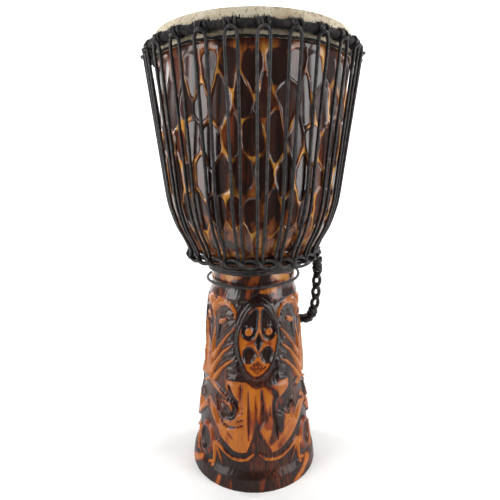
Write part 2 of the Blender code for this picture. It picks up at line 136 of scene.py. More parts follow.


# %% [markdown]
# ## Finish: burnt and varnished hardwood
#
# The shell is a tropical hardwood such as mahogany. The carver scorches the whole surface with a flame, sands
# the high edges back to bright wood and brushes on clear varnish. That gives the eye dark chocolate hollows
# with reddish streaks, golden orange ridges, and grey-white sheets of light where a flat scoop mirrors a lamp.
#
# The colours could be painted by hand, but the shape already knows where the sandpaper reached. The mesh
# carries that as the attribute "sanded", and a second one, "worn", makes each scoop its own tone. On the lowest
# scoops "sanded" also carries a painted sheen: a lighter stain that stands in for the pale paper they mirror.
# Noise that is stretched along the trunk breaks both up like grain. The stain on the foot is redder than on
# the bowl, and its varnish is thinner, because hands and floors have worn it.

# %% Make the wood finish
GRAIN_MM = 2.4
GRAIN_STRETCH = 0.06
SMUDGE_MM = 12.0
SMUDGE_STRETCH = 0.35
GLOW_MM = 34.0
PORE_MM = 0.5
FOOT_STAIN_TOP, BOWL_STAIN_BOTTOM = 0.262, 0.315


def make_wood():
    wood, tree, shader = new_finish(
        "burnt_varnished_hardwood", metallic=0.0, specular_ior_level=0.15, coat_roughness=0.17
    )
    place = add(tree, "TexCoord", out="Object")
    along_trunk = add(tree, "Mapping", {"Vector": place, "Scale": (1.0, 1.0, GRAIN_STRETCH)})
    grain = add(tree, "TexNoise", {"Vector": along_trunk, "Scale": 1000 / GRAIN_MM, "Detail": 5.0})
    drawn_out = add(tree, "Mapping", {"Vector": place, "Scale": (1.0, 1.0, SMUDGE_STRETCH)})
    smudge = add(tree, "TexNoise", {"Vector": drawn_out, "Scale": 1000 / SMUDGE_MM, "Detail": 6.0})
    glow = add(tree, "TexNoise", {"Vector": drawn_out, "Scale": 1000 / GLOW_MM, "Detail": 3.0})
    sanded = add(tree, "Attribute", out="Fac", attribute_name="sanded")
    worn = add(tree, "Attribute", out="Fac", attribute_name="worn")
    height = add(tree, "SeparateXYZ", {0: place}, out=2)
    on_bowl = add(tree, "MapRange", {0: height, 1: FOOT_STAIN_TOP, 2: BOWL_STAIN_BOTTOM})

    ragged = add(tree, "MapRange", {0: smudge, 1: 0.3, 2: 0.7, 3: -0.30, 4: 0.30}, **SMOOTH)
    ragged_edge = add(tree, "Math", {0: sanded, 1: ragged}, operation="ADD")
    open_grain = add(tree, "MapRange", {0: grain, 1: 0.36, 2: 0.68}, **SMOOTH)
    streak = add(tree, "Math", {0: open_grain, 1: worn}, operation="MULTIPLY")
    spared = add(tree, "MapRange", {0: glow, 1: 0.42, 2: 0.72}, **SMOOTH)
    lightly_burnt = add(tree, "Math", {0: spared, 1: streak}, operation="MULTIPLY")
    charred = add(tree, "Mix", {0: on_bowl, 6: linear("#1e0f0b"), 7: linear("#2b140d")}, **COLOURS)
    burnt = add(tree, "Mix", {0: lightly_burnt, 6: charred, 7: linear("#8a3e16")}, **COLOURS)
    stained = add(tree, "Mix", {0: on_bowl, 6: linear("#7e330f"), 7: linear("#7c3f16")}, **COLOURS)
    on_foot = add(tree, "Mix", {0: smudge, 6: linear("#8e440b"), 7: linear("#bd7020")}, **COLOURS)
    above = add(tree, "Mix", {0: smudge, 6: linear("#a8661c"), 7: linear("#dca044")}, **COLOURS)
    golden = add(tree, "Mix", {0: on_bowl, 6: on_foot, 7: above}, **COLOURS)
    grained = add(tree, "MapRange", {0: grain, 1: 0.3, 2: 0.6, 3: 0.8, 4: 1.0}, **SMOOTH)
    golden = add(tree, "Mix", {0: 1.0, 6: golden, 7: grained}, blend_type="MULTIPLY", **COLOURS)
    # The share of stained colour also takes in the painted sheen on the lowest scoops, which comes through
    # "sanded".
    stain_and_painted_sheen = add(tree, "MapRange", {0: ragged_edge, 1: 0.24, 2: 0.50}, **SMOOTH)
    bared_wood = add(tree, "MapRange", {0: ragged_edge, 1: 0.48, 2: 0.92}, **SMOOTH)
    colour = add(tree, "Mix", {0: stain_and_painted_sheen, 6: burnt, 7: stained}, **COLOURS)
    colour = add(tree, "Mix", {0: bared_wood, 6: colour, 7: golden}, **COLOURS)
    dull = add(tree, "MapRange", {0: smudge, 1: 0.3, 2: 0.7, 3: 0.34, 4: 0.52}, **SMOOTH)
    varnish = add(tree, "MapRange", {0: height, 1: 0.0, 2: 0.30, 3: 0.14, 4: 0.8})
    pores = add(tree, "TexNoise", {"Vector": along_trunk, "Scale": 1000 / PORE_MM, "Detail": 2.0})
    bump = add(tree, "Bump", {"Strength": 0.25, "Distance": 0.0004, "Height": grain})
    bump = add(tree, "Bump", {"Strength": 0.15, "Distance": 0.0002, "Height": pores, "Normal": bump})
    brushed = add(tree, "Bump", {"Strength": 0.45, "Distance": 0.0008, "Height": smudge})
    feed(tree, shader, base_color=colour, roughness=dull, coat_weight=varnish, normal=bump, coat_normal=brushed)
    return wood


WOOD = make_wood()
print("finish:", WOOD.name)

# %% [markdown]
# ## Finish: shaved goatskin
#
# The head is rawhide: goatskin soaked, stretched and shaved while it dries. It is matt and slightly
# translucent, cream with a grey-brown bloom, and marked by hair pores and scuffs. Three sizes of noise give the
# bloom, the scuffs and the pores, and a little light is let into the skin so that it doesn't look like plaster.

# %% Make the skin finish
BLOOM_MM = 22.0
SCUFF_MM = 3.5
HAIR_PORE_MM = 0.7


def make_skin():
    skin, tree, shader = new_finish(
        "shaved_goatskin", metallic=0.0, roughness=0.62, subsurface_weight=0.12, subsurface_scale=0.004
    )
    place = add(tree, "TexCoord", out="Object")
    bloom = add(tree, "TexNoise", {"Vector": place, "Scale": 1000 / BLOOM_MM, "Detail": 5.0})
    scuff = add(tree, "TexNoise", {"Vector": place, "Scale": 1000 / SCUFF_MM, "Detail": 7.0, "Distortion": 1.2})
    pores = add(tree, "TexNoise", {"Vector": place, "Scale": 1000 / HAIR_PORE_MM, "Detail": 2.0})
    bloom = add(tree, "MapRange", {0: bloom, 1: 0.35, 2: 0.7})
    cream = add(tree, "Mix", {0: bloom, 6: linear("#d6cab2"), 7: linear("#b3a182")}, **COLOURS)
    scuffed = add(tree, "MapRange", {0: scuff, 1: 0.53, 2: 0.66, 3: 0.0, 4: 0.75})
    colour = add(tree, "Mix", {0: scuffed, 6: cream, 7: linear("#77634e")}, **COLOURS)
    bump = add(tree, "Bump", {"Strength": 0.35, "Distance": 0.0005, "Height": scuff})
    bump = add(tree, "Bump", {"Strength": 0.3, "Distance": 0.0003, "Height": pores, "Normal": bump})
    feed(tree, shader, base_color=colour, normal=bump)
    return skin


SKIN_FINISH = make_skin()
print("finish:", SKIN_FINISH.name)

# %% [markdown]
# ## Finish: black cloth on iron, and black braided cord
#
# The iron rings are bound with strips of black cotton so that they grip the skin. Cotton has no gloss: what
# light it gives back is a grey fuzz at the edges, which a sheen layer gives. Its weave is about half a
# millimetre, and it is drawn twice as coarse so that it shows.
#
# The cord is braided from fine polypropylene or nylon yarn. It is black with a soft grey streak where a lamp
# catches it, and dusty between the yarns. The braid is a diamond lattice wrapped round the cord, worked out
# from how far round and how far along each place is, which the rope meshes carry as a UV map in metres.

# %% Make the cloth and cord finishes
WEAVE_MM = 1.0
DUST_MM = 6.0
YARNS_ROUND = 3
BRAID_PITCH = 0.0036


def dusty(tree, place, dark, pale, amount):
    """Black yarn that is paler where dust and wear collect."""
    dust = add(tree, "TexNoise", {"Vector": place, "Scale": 1000 / DUST_MM, "Detail": 7.0})
    share = add(tree, "MapRange", {0: dust, 1: 0.45, 2: 0.75, 3: 0.0, 4: amount})
    return add(tree, "Mix", {0: share, 6: linear(dark), 7: linear(pale)}, **COLOURS)


def make_cloth():
    cloth, tree, shader = new_finish(
        "black_cotton_binding", metallic=0.0, roughness=0.9, sheen_weight=0.10, sheen_roughness=0.4,
        specular_ior_level=0.25,
    )
    place = add(tree, "TexCoord", out="Object")
    colour = dusty(tree, place, "#1c191a", "#494240", 0.6)
    yarn = add(tree, "TexVoronoi", {"Vector": place, "Scale": 1000 / WEAVE_MM})
    fuzz = add(tree, "TexNoise", {"Vector": place, "Scale": 1000 / WEAVE_MM / 2, "Detail": 6.0})
    bump = add(tree, "Bump", {"Strength": 0.5, "Distance": 0.0006, "Height": yarn})
    bump = add(tree, "Bump", {"Strength": 0.5, "Distance": 0.0010, "Height": fuzz, "Normal": bump})
    feed(tree, shader, base_color=colour, normal=bump)
    return cloth


def make_cord():
    cord, tree, shader = new_finish(
        "black_braided_cord", metallic=0.0, roughness=0.46, sheen_weight=0.05, sheen_roughness=0.4,
        specular_ior_level=0.35,
    )
    place = add(tree, "TexCoord", out="Object")
    colour = dusty(tree, place, "#171415", "#544a46", 0.6)
    lay = add(tree, "SeparateXYZ", {0: add(tree, "UVMap", uv_map="cord_lay")}).node.outputs
    round_turns = add(tree, "Math", {0: lay[0], 1: float(YARNS_ROUND)}, operation="MULTIPLY")
    along_turns = add(tree, "Math", {0: lay[1], 1: 1 / BRAID_PITCH}, operation="MULTIPLY")
    yarns = []
    for way in ("ADD", "SUBTRACT"):
        turns = add(tree, "Math", {0: round_turns, 1: along_turns}, operation=way)
        angle = add(tree, "Math", {0: turns, 1: TURN}, operation="MULTIPLY")
        yarns.append(add(tree, "Math", {0: angle}, operation="COSINE"))
    braid = add(tree, "Math", {0: yarns[0], 1: yarns[1]}, operation="MAXIMUM")
    fuzz = add(tree, "TexNoise", {"Vector": place, "Scale": 1000 / WEAVE_MM, "Detail": 5.0})
    bump = add(tree, "Bump", {"Strength": 0.35, "Distance": 0.0004, "Height": braid})
    bump = add(tree, "Bump", {"Strength": 0.35, "Distance": 0.0006, "Height": fuzz, "Normal": bump})
    feed(tree, shader, base_color=colour, normal=bump)
    return cord


CLOTH = make_cloth()
CORD = make_cord()
print("finishes:", CLOTH.name, CORD.name)

# %% [markdown]
# ## Helpers for shapes
#
# Most pieces follow the turned outline of the shell, so that outline is written once, as a formula: a flared
# foot, a straight neck, and a bowl that swells fast and then stays nearly upright. The ropes are swept along
# routes of points. A curve object with a bevel could do that, but a mesh made here can also carry how far
# along the cord each place is, which the braid of the finish needs.

# %% The outline of the shell
FOOT_RADIUS = 0.0945
FOOT_TOP_RADIUS = 0.0685
FOOT_TOP = 0.252
FOOT_TAPER = 1.3
STEP_HEIGHT = 0.026
NECK_RADIUS = 0.060
NECK_LENGTH = 0.052
NECK_HEIGHT = FOOT_TOP + NECK_LENGTH
BOWL_LENGTH = 0.296
DRUM_HEIGHT = NECK_HEIGHT + BOWL_LENGTH
RIM_RADIUS = 0.1255
BOWL_ROUNDNESS = 6.0
BOWL_FLARE = 0.115
BOWL_WALL = 0.012
FOOT_WALL = 0.018
NECK_WALL = 0.016
NECK_BORE_RADIUS = NECK_RADIUS - NECK_WALL
SKIN = 0.0010
GAP = 0.0003
SHELL_TOP = DRUM_HEIGHT - SKIN - GAP


def ease(value):
    share = np.clip(value, 0.0, 1.0)
    return share * share * (3.0 - 2.0 * share)


def outline(height):
    """Outer radius of the plain turned shell at a height."""
    low = np.clip(1.0 - height / FOOT_TOP, 0.0, None)
    foot = FOOT_TOP_RADIUS + (FOOT_RADIUS - FOOT_TOP_RADIUS) * low**FOOT_TAPER
    foot = foot + (NECK_RADIUS - FOOT_TOP_RADIUS) * ease((height - FOOT_TOP) / STEP_HEIGHT)
    up = np.clip((height - NECK_HEIGHT) / (SHELL_TOP - NECK_HEIGHT), 0.0, 1.0)
    swell = (1.0 - BOWL_FLARE) * (1.0 - (1.0 - up) ** BOWL_ROUNDNESS) + BOWL_FLARE * up
    return foot + (RIM_RADIUS - NECK_RADIUS) * swell


def slope(height):
    """Angle of the outline from the vertical."""
    step = 0.0005
    return math.atan2(float(outline(height + step) - outline(height - step)), 2 * step)


def beside_shell(height, away):
    """Radius and height of a point that far out from the shell, square to its surface."""
    lean = slope(height)
    return float(outline(height)) + away * math.cos(lean), height - away * math.sin(lean)


def bore(height):
    """Inner radius of the shell at a height."""
    if height < NECK_HEIGHT:
        widening = (FOOT_RADIUS - FOOT_WALL - NECK_BORE_RADIUS) * (1 - height / NECK_HEIGHT) ** FOOT_TAPER
        return NECK_BORE_RADIUS + widening
    inner = float(outline(height)) - BOWL_WALL / math.cos(slope(height))
    return max(NECK_BORE_RADIUS, inner)


def round_point(angle, radius, height):
    return Vector((radius * math.sin(angle), -radius * math.cos(angle), height))


print("radius at the ground, neck and rim:", [round(float(outline(z)), 4) for z in (0, NECK_HEIGHT, SHELL_TOP)])

# %% Pieces, turned forms and swept cords


def mesh_of(name, points, faces):
    data = bpy.data.meshes.new(name)
    data.from_pydata([tuple(p) for p in points], [], faces)
    return data


def join_rows(work, rows):
    """Faces between closed rows with the same number of vertices."""
    for a, b in zip(rows, rows[1:]):
        for i in range(len(a)):
            j = (i + 1) % len(a)
            work.faces.new((a[i], a[j], b[j], b[i]))


def mesh_from(work, name):
    bmesh.ops.recalc_face_normals(work, faces=work.faces)
    data = bpy.data.meshes.new(name)
    work.to_mesh(data)
    work.free()
    return data


def make_piece(data, finish, slot, *nodes):
    """Puts a mesh in the scene as a piece that rides on the drum and stands for its solids."""
    thing = put_in_scene(data.name, data)
    data.materials.append(finish)
    data.shade_smooth()
    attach(thing, "root")
    if nodes:
        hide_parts(*nodes)
    print(data.name, "faces:", len(data.polygons))
    return thing


def lengths_along(route):
    """How far along the route each of its points is."""
    return np.concatenate([[0.0], np.cumsum(np.linalg.norm(np.diff(route, axis=0), axis=1))])


def smooth_route(knots, gap, steps=12):
    """Evenly spaced points on a smooth curve through the knots."""
    spots = [Vector(k) for k in knots]
    spots = [2 * spots[0] - spots[1]] + spots + [2 * spots[-1] - spots[-2]]
    fine = []
    for a, b, c, d in zip(spots, spots[1:], spots[2:], spots[3:]):
        for i in range(steps):
            t = i / steps
            bend = (2 * a - 5 * b + 4 * c - d) * t**2
            turn = (3 * b - a - 3 * c + d) * t**3
            fine.append(0.5 * (2 * b + (c - a) * t + bend + turn))
    fine.append(spots[-2])
    fine = np.array(fine)
    length = lengths_along(fine)
    count = max(2, round(length[-1] / gap))
    want = np.linspace(0.0, length[-1], count + 1)
    return np.column_stack([np.interp(want, length, fine[:, k]) for k in range(3)])


def frames_along(route, first=None):
    """Two directions square to the route at each point, carried along without twisting."""
    heading = np.gradient(route, axis=0)
    heading /= np.linalg.norm(heading, axis=1)[:, None]
    side = np.cross(heading[0], (0.0, 0.0, 1.0) if abs(heading[0][2]) < 0.9 else (1.0, 0.0, 0.0))
    if first is not None:
        side = np.array(first, dtype=float)
    sides = []
    for ahead in heading:
        side = side - ahead * np.dot(side, ahead)
        side = side / np.linalg.norm(side)
        sides.append(side)
    sides = np.array(sides)
    return heading, sides, np.cross(heading, sides)


def cord_mesh(name, routes, thick, sides=8):
    """One mesh of round cords, each with its far ends closed and tapered a little."""
    points, faces, lay = [], [], []
    for route in routes:
        route = np.asarray(route, dtype=float)
        heading, across, up = frames_along(route)
        length = lengths_along(route)
        base = len(points)
        for i in range(len(route)):
            half = thick / 2 * (0.6 if i in (0, len(route) - 1) else 1.0)
            for k in range(sides):
                t = TURN * k / sides
                points.append(route[i] + half * (math.cos(t) * across[i] + math.sin(t) * up[i]))
        for i in range(len(route) - 1):
            for k in range(sides):
                a, b = base + i * sides + k, base + i * sides + (k + 1) % sides
                faces.append((a, b, b + sides, a + sides))
                u0, u1 = k / sides, (k + 1) / sides
                lay += [(u0, length[i]), (u1, length[i]), (u1, length[i + 1]), (u0, length[i + 1])]
        for first, turn in ((base, -1), (base + (len(route) - 1) * sides, 1)):
            faces.append(tuple(first + k for k in range(sides))[::turn])
            lay += [(0.0, 0.0)] * sides
    data = mesh_of(name, points, faces)
    layer = data.uv_layers.new(name="cord_lay")
    layer.data.foreach_set("uv", np.array(lay, dtype=np.float32).ravel())
    return data


# %% [markdown]
# ## The braided handle
#
# The spare rope is chained into a braid: each loop is drawn through the one before, so two thick strands run
# side by side and cross at every link, with a gap between them. It hangs at the right from the bottom ring,
# turns under in two knots and goes round behind the foot to the waist.
#
# A hanging rope could be simulated, but its route is known here from the solid, so its points are repeated and
# two strands are wound about the curve through them.

# %% Make the handle
HANDLE_ROUTE = (
    (0.0940, 0.0040, 0.3110),
    (0.0945, 0.0050, 0.2900),
    (0.0938, 0.0065, 0.2620),
    (0.0925, 0.0100, 0.2350),
    (0.0880, 0.0210, 0.2130),
    (0.0780, 0.0400, 0.2020),
    (0.0600, 0.0590, 0.1990),
    (0.0355, 0.0735, 0.2050),
    (0.0120, 0.0795, 0.2210),
    (0.0000, 0.0795, 0.2440),
    (-0.0030, 0.0760, 0.2660),
    (-0.0035, 0.0725, 0.2810),
)
STRAND = 0.0056
LINK_LENGTH = 0.0180
LINK_HALF_WIDTH = 0.0046
LINK_HALF_DEPTH = 0.0022
LINK_TIE = (0.0034, 0.0036)
KNOTS_AT = (0.003, 0.010, 0.017, 0.088, 0.095, 0.108, 0.115, 0.128)
KNOT_TIE = (0.0052, 0.0048)
TIE_STEPS = 12
TIE_SLANT = 0.0022
TO_THE_RIGHT = (1.0, 0.0, 0.0)


def tied_round(middle, heading, across, up, wide, deep, lean):
    """A cord that goes once round two others."""
    points = []
    for k in range(TIE_STEPS + 1):
        t = TURN * k / TIE_STEPS
        out = wide * math.cos(t) * across + deep * math.sin(t) * up
        points.append(middle + out + heading * TIE_SLANT * math.sin(t / 2 + lean))
    return np.array(points)


def chained(route, first, link, half_wide, half_deep):
    """Two strands that cross once in every link, and a cord tied round them at each crossing."""
    heading, across, up = frames_along(route, first)
    length = lengths_along(route)
    strands = []
    for start in (0.0, math.pi):
        swing = math.pi * length / link + start
        wide = np.sign(np.cos(swing)) * np.abs(np.cos(swing)) ** 0.6
        strands.append(route + half_wide * wide[:, None] * across + half_deep * np.sin(swing)[:, None] * up)
    for n in range(int(round(length[-1] / link))):
        at = int(np.argmin(np.abs(length - (n + 0.5) * link)))
        strands.append(tied_round(route[at], heading[at], across[at], up[at], *LINK_TIE, n))
    return strands


def handle_knots(route, first):
    """Two turns side by side at each place where the braid is knotted thick."""
    heading, across, up = frames_along(route, first)
    length = lengths_along(route)
    spots = [int(np.argmin(np.abs(length - at))) for at in KNOTS_AT]
    return [tied_round(route[n], heading[n], across[n], up[n], *KNOT_TIE, k) for k, n in enumerate(spots)]


handle_route = smooth_route(HANDLE_ROUTE, 0.002)
handle_strands = chained(handle_route, TO_THE_RIGHT, LINK_LENGTH, LINK_HALF_WIDTH, LINK_HALF_DEPTH)
handle_strands += handle_knots(handle_route, TO_THE_RIGHT)
handle = make_piece(cord_mesh("chain_braided_handle", handle_strands, STRAND), CORD, "rope", "braided_handle")

# %% [markdown]
# ## The lacing
#
# One long rope runs up from the bottom ring, over the crown ring and back down, 26 times round the drum. It is
# pulled so tight that it stands clear of the bowl between the crown ring and the bowl's shoulder. Its route is
# built from the same rings and outline as the solid, with a point wherever it bends, and a smooth curve is
# drawn through them.

# %% Make the lacing
ROPE = 0.004
ROPE_SLACK = 0.0009
LACED_PAIRS = 26
LACING_TURN = math.radians(4.4)
PAIR_SPREAD_TOP = 0.013
PAIR_SPREAD_BOTTOM = 0.006
ARCH_NARROWS = 0.68
LACING_TOUCHES_BOWL = NECK_HEIGHT + 0.096
LACING_FAN = math.radians(4.0)
ARCH_STANDS_OFF = 0.0018
LEG_SWAY = math.radians(0.5)
ROUND_SIDES = 44
CROWN_RING_HEIGHT = DRUM_HEIGHT - 0.020
CROWN_RING_WIDE = 0.012
CROWN_RING_TALL = 0.008
FLESH_RING_HEIGHT = CROWN_RING_HEIGHT - 0.0095
FLESH_RING_THICK = 0.0032
BOTTOM_RING_HEIGHT = NECK_HEIGHT + 0.0195
BOTTOM_RING_THICK = 0.006
SIDE_FIT = 1 / math.cos(math.pi / ROUND_SIDES)
SKIRT_OUTER = RIM_RADIUS * SIDE_FIT + GAP + SKIN
CROWN_RING_RADIUS = (SKIRT_OUTER + GAP + CROWN_RING_WIDE / 2) * SIDE_FIT
FLESH_RING_RADIUS = (SKIRT_OUTER + GAP + FLESH_RING_THICK / 2) * SIDE_FIT
BOTTOM_RING_AT = beside_shell(BOTTOM_RING_HEIGHT, BOTTOM_RING_THICK / 2 + 2 * GAP)


def lacing_leg():
    """Radius, height and half spread of one leg of a pair, from the bottom ring to its crest."""
    away = ROPE / 2 + GAP + ROPE_SLACK
    wide, tall = CROWN_RING_WIDE / 2 + away, CROWN_RING_TALL / 2 + away
    low_radius, low_height = BOTTOM_RING_AT
    low_away = BOTTOM_RING_THICK / 2 + away
    leg = []
    for turn in (-50, 0):
        t = math.radians(turn)
        leg.append((low_radius + low_away * math.cos(t), low_height + low_away * math.sin(t)))
    for share in (0.25, 0.5, 0.75, 1.0):
        leg.append(beside_shell(low_height + share * (LACING_TOUCHES_BOWL - low_height), away))
    shoulder = leg[-1]
    ends = []
    for turn, off in ((-50, 0.0), (-27, ARCH_STANDS_OFF)):
        t = math.radians(turn)
        height = CROWN_RING_HEIGHT + (tall + off) * math.sin(t)
        ends.append((CROWN_RING_RADIUS + (wide + off) * math.cos(t), height))
    for share in (0.25, 0.5, 0.75, 0.95):
        leg.append(tuple(a + share * (b - a) for a, b in zip(shoulder, ends[0])))
    leg += ends
    top_half = PAIR_SPREAD_TOP / 2 / CROWN_RING_RADIUS
    low_half = PAIR_SPREAD_BOTTOM / 2 / low_radius
    shares = [float(np.clip((z - low_height) / (ends[0][1] - low_height), 0.0, 1.0)) for r, z in leg]
    halves = [low_half + (top_half - low_half) * s for s in shares]
    halves[-2] = ARCH_NARROWS * top_half
    halves[-1] = 0.0
    return [(r, z, s, h) for (r, z), s, h in zip(leg, shares, halves)]


def lacing_route():
    chance = random.Random(3)
    leg = lacing_leg()
    pitch = TURN / LACED_PAIRS
    low_radius, low_height = BOTTOM_RING_AT
    under = low_height - BOTTOM_RING_THICK / 2 - ROPE / 2 - GAP - ROPE_SLACK
    points = []
    for pair in range(LACED_PAIRS):
        middle = LACING_TURN + pair * pitch
        fan = LACING_FAN * math.sin(middle)
        for way, part in ((-1, leg), (1, leg[-2::-1])):
            sway = chance.uniform(-LEG_SWAY, LEG_SWAY)
            for radius, height, share, half in part:
                turn = middle + way * half + fan * (1 - share) + sway * 4 * share * (1 - share)
                points.append(round_point(turn, radius, height))
        points.append(round_point(middle + pitch / 2 + fan, low_radius, under))
    return points + [points[0]]


lacing_line = smooth_route(lacing_route(), 0.0034, steps=8)
make_piece(cord_mesh("lacing", [lacing_line], ROPE), CORD, "rope", "lacing_rope")
print("lacing rope, m:", round(float(lengths_along(lacing_line)[-1]), 2))

# %% [markdown]
# ## The waist winding and the loops on the bottom ring
#
# Under the bottom ring the spare rope is wound three times round the waist, with one slack turn that hangs
# lower and stands off the wood, and one strand runs from it to the top of the handle. On the ring itself the
# lacing is caught in a row of loops that link through each other. They are made like the handle: two strands
# that cross once for each pair, and a cord tied round them there, give that row of knots and dark eyes.

# %% Make the winding and the loops
TIGHT_TURNS = 3
TURN_STEPS = 48
TURN_PITCH = 0.0046
WINDING_TOP = NECK_HEIGHT + 0.0085
SLACK = 0.0032
SLACK_BULGE = 0.0022
SLACK_TURN_DROP = 0.0115
LOWEST_AT = 0.55
LOOP_HALF_TALL = 0.0048
LOOPS_STAND_OFF = 0.0052
LOOP_HALF_DEEP = 0.0022
LOOP_STEPS = 14
LOOP_CORD = 0.0042
WINDING_WAVER = 0.0007
WAVES_PER_TURN = 5
TOP_KNOT_TIE = (0.0050, 0.0044)
TOP_KNOT = ((0.0935, 0.0040, 0.3165), (0.0925, 0.0040, 0.3215), (0.0910, 0.0040, 0.3260))
STRAND_TO_HANDLE = (
    (0.0420, -0.0500, 0.3080),
    (0.0520, -0.0480, 0.3070),
    (0.0680, -0.0370, 0.3065),
    (0.0800, -0.0200, 0.3080),
    (0.0860, -0.0040, 0.3110),
    (0.0850, 0.0080, 0.3140),
)


def winding_route():
    away = ROPE / 2 + GAP + ROPE_SLACK
    points = []
    for i in range(TIGHT_TURNS * TURN_STEPS + 1):
        turn = i / TURN_STEPS
        radius, height = beside_shell(WINDING_TOP - TURN_PITCH * turn, away)
        radius = max(radius, NECK_RADIUS + away)
        height += WINDING_WAVER * math.sin(WAVES_PER_TURN * turn * TURN)
        points.append(round_point(math.pi - turn * TURN, radius, height))
    start = WINDING_TOP - TURN_PITCH * TIGHT_TURNS
    for i in range(1, TURN_STEPS):
        share = i / TURN_STEPS
        sag = math.sin(math.pi / 2 * min(1.0, share / LOWEST_AT))
        loose = math.sin(math.pi / 2 * min(1.0, share * 2))
        bulge = math.sin(math.pi * share) * math.cos(TURN * share) ** 2
        radius = NECK_RADIUS + away + SLACK * loose + SLACK_BULGE * bulge
        height = start - SLACK_TURN_DROP * sag - TURN_PITCH * share
        points.append(round_point(math.pi - share * TURN, radius, height))
    return smooth_route(points, 0.0028, steps=2)


def loop_strands():
    """The row of loops along the bottom ring, one for each pair of the lacing."""
    radius, height = BOTTOM_RING_AT
    radius += BOTTOM_RING_THICK / 2 + LOOPS_STAND_OFF
    steps = LOOP_STEPS * LACED_PAIRS
    start = LACING_TURN + math.pi / LACED_PAIRS
    ring = [round_point(start + TURN * i / steps, radius, height) for i in range(steps + 1)]
    link = TURN * radius / LACED_PAIRS
    return chained(np.array(ring), (0.0, 0.0, 1.0), link, LOOP_HALF_TALL, LOOP_HALF_DEEP)


waist_cords = [winding_route(), smooth_route(STRAND_TO_HANDLE, 0.0028)]
sideways, backwards, upwards = np.eye(3)
for n, at in enumerate(TOP_KNOT):
    waist_cords.append(tied_round(np.array(at), upwards, sideways, backwards, *TOP_KNOT_TIE, n))
make_piece(cord_mesh("waist_wraps", waist_cords, ROPE, 10), CORD, "rope", "waist_winding")
make_piece(cord_mesh("ring_loops", loop_strands(), LOOP_CORD), CORD, "rope")

# %% [markdown]
# ## The bound rings
#
# Each ring is iron rod bound with cloth. A plain torus would look like rubber hose, so the section is made oval
# and each turn of the cloth strip is laid over the last, as a shallow saw-tooth that spirals along the ring.

# %% Make the rings
WRAP_PITCH = 0.014
WRAP_STEP = 0.0007
WRAP_BELOW = 0.7
CREASE = 0.0006
CREASES_PER_METRE = 220
EXTRA_CLOTH = 0.0016
BINDINGS = (
    ("crown", CROWN_RING_RADIUS, CROWN_RING_HEIGHT + EXTRA_CLOTH / 2, CROWN_RING_WIDE,
     CROWN_RING_TALL + EXTRA_CLOTH, 420, 14),
    ("flesh", FLESH_RING_RADIUS, FLESH_RING_HEIGHT, FLESH_RING_THICK, FLESH_RING_THICK, 300, 10),
    ("bottom", *BOTTOM_RING_AT, BOTTOM_RING_THICK, BOTTOM_RING_THICK, 240, 10),
)


def bound_ring(name, radius, height, wide, tall, around, sides):
    """A ring of oval section with the spiral steps of its cloth binding."""
    points, faces = [], []
    for i in range(around):
        angle = TURN * i / around
        for k in range(sides):
            t = TURN * k / sides
            turns = round(TURN * radius / WRAP_PITCH) * i / around + k / sides
            lift = WRAP_STEP * (turns % 1.0 - WRAP_BELOW)
            spot = round_point(angle, radius + (wide / 2) * math.cos(t), height + (tall / 2) * math.sin(t))
            lift += CREASE * noise.noise(spot * CREASES_PER_METRE)
            points.append(round_point(angle, radius + (wide / 2 + lift) * math.cos(t),
                                      height + (tall / 2 + lift) * math.sin(t)))
    for i in range(around):
        for k in range(sides):
            j, m = (i + 1) % around, (k + 1) % sides
            faces.append((i * sides + k, j * sides + k, j * sides + m, i * sides + m))
    return mesh_of(name, points, faces)


for ring, *sizes in BINDINGS:
    make_piece(bound_ring(ring + "_binding", *sizes), CLOTH, "ring", ring + "_ring")

# %% [markdown]
# ## Hitches and frayed ends on the crown ring
#
# Over each pair a short cord is hitched round the crown ring and cut off, and its ends fray into little black
# brushes. A hitch is a helix round the ring's section. The fray is a bunch of thin spikes with random lengths,
# drawn from one seeded source so that the drum is the same each time.

# %% Make the hitches
HITCH_CORD = 0.0029
HITCH_TURNS = 4
HITCH_HALF_WIDTH = 0.0056
HITCH_START = math.radians(80)
HITCH_SWINGS = 1.5
HITCH_PILE = 0.0008
HITCH_RAISED = 0.0006
CLEAR_OF_SKIN = 0.0022
FRAY_SPIKES = 95
FRAY_SPREAD = 0.0050
FRAY_RAISED = 0.0012
FRAY_LENGTHS = (0.0012, 0.0038)
FRAY_THICKNESSES = (0.0005, 0.0010)
HITCHES_AT = [LACING_TURN + pair * TURN / LACED_PAIRS for pair in range(LACED_PAIRS)]


def hitch_route(middle, lean):
    """Turns round the ring that cross each other and pile up, as in a knot."""
    away = HITCH_CORD / 2
    wide, tall = CROWN_RING_WIDE / 2 + away, CROWN_RING_TALL / 2 + away
    half = HITCH_HALF_WIDTH / CROWN_RING_RADIUS
    steps = HITCH_TURNS * 14
    points = []
    for i in range(steps + 1):
        share = i / steps
        t = HITCH_START + TURN * HITCH_TURNS * share
        angle = middle + half * math.cos(HITCH_SWINGS * TURN * share + lean)
        pile = HITCH_PILE * share * max(0.0, math.sin(t + 0.4)) - HITCH_PILE
        radius = max(CROWN_RING_RADIUS + (wide + pile) * math.cos(t), SKIRT_OUTER + CLEAR_OF_SKIN)
        points.append(round_point(angle, radius, CROWN_RING_HEIGHT + HITCH_RAISED + (tall + pile) * math.sin(t)))
    return np.array(points)


def hitches():
    chance = random.Random(11)
    sway = math.radians(0.7)
    return [hitch_route(m + chance.uniform(-sway, sway), chance.uniform(-0.5, 0.5)) for m in HITCHES_AT]


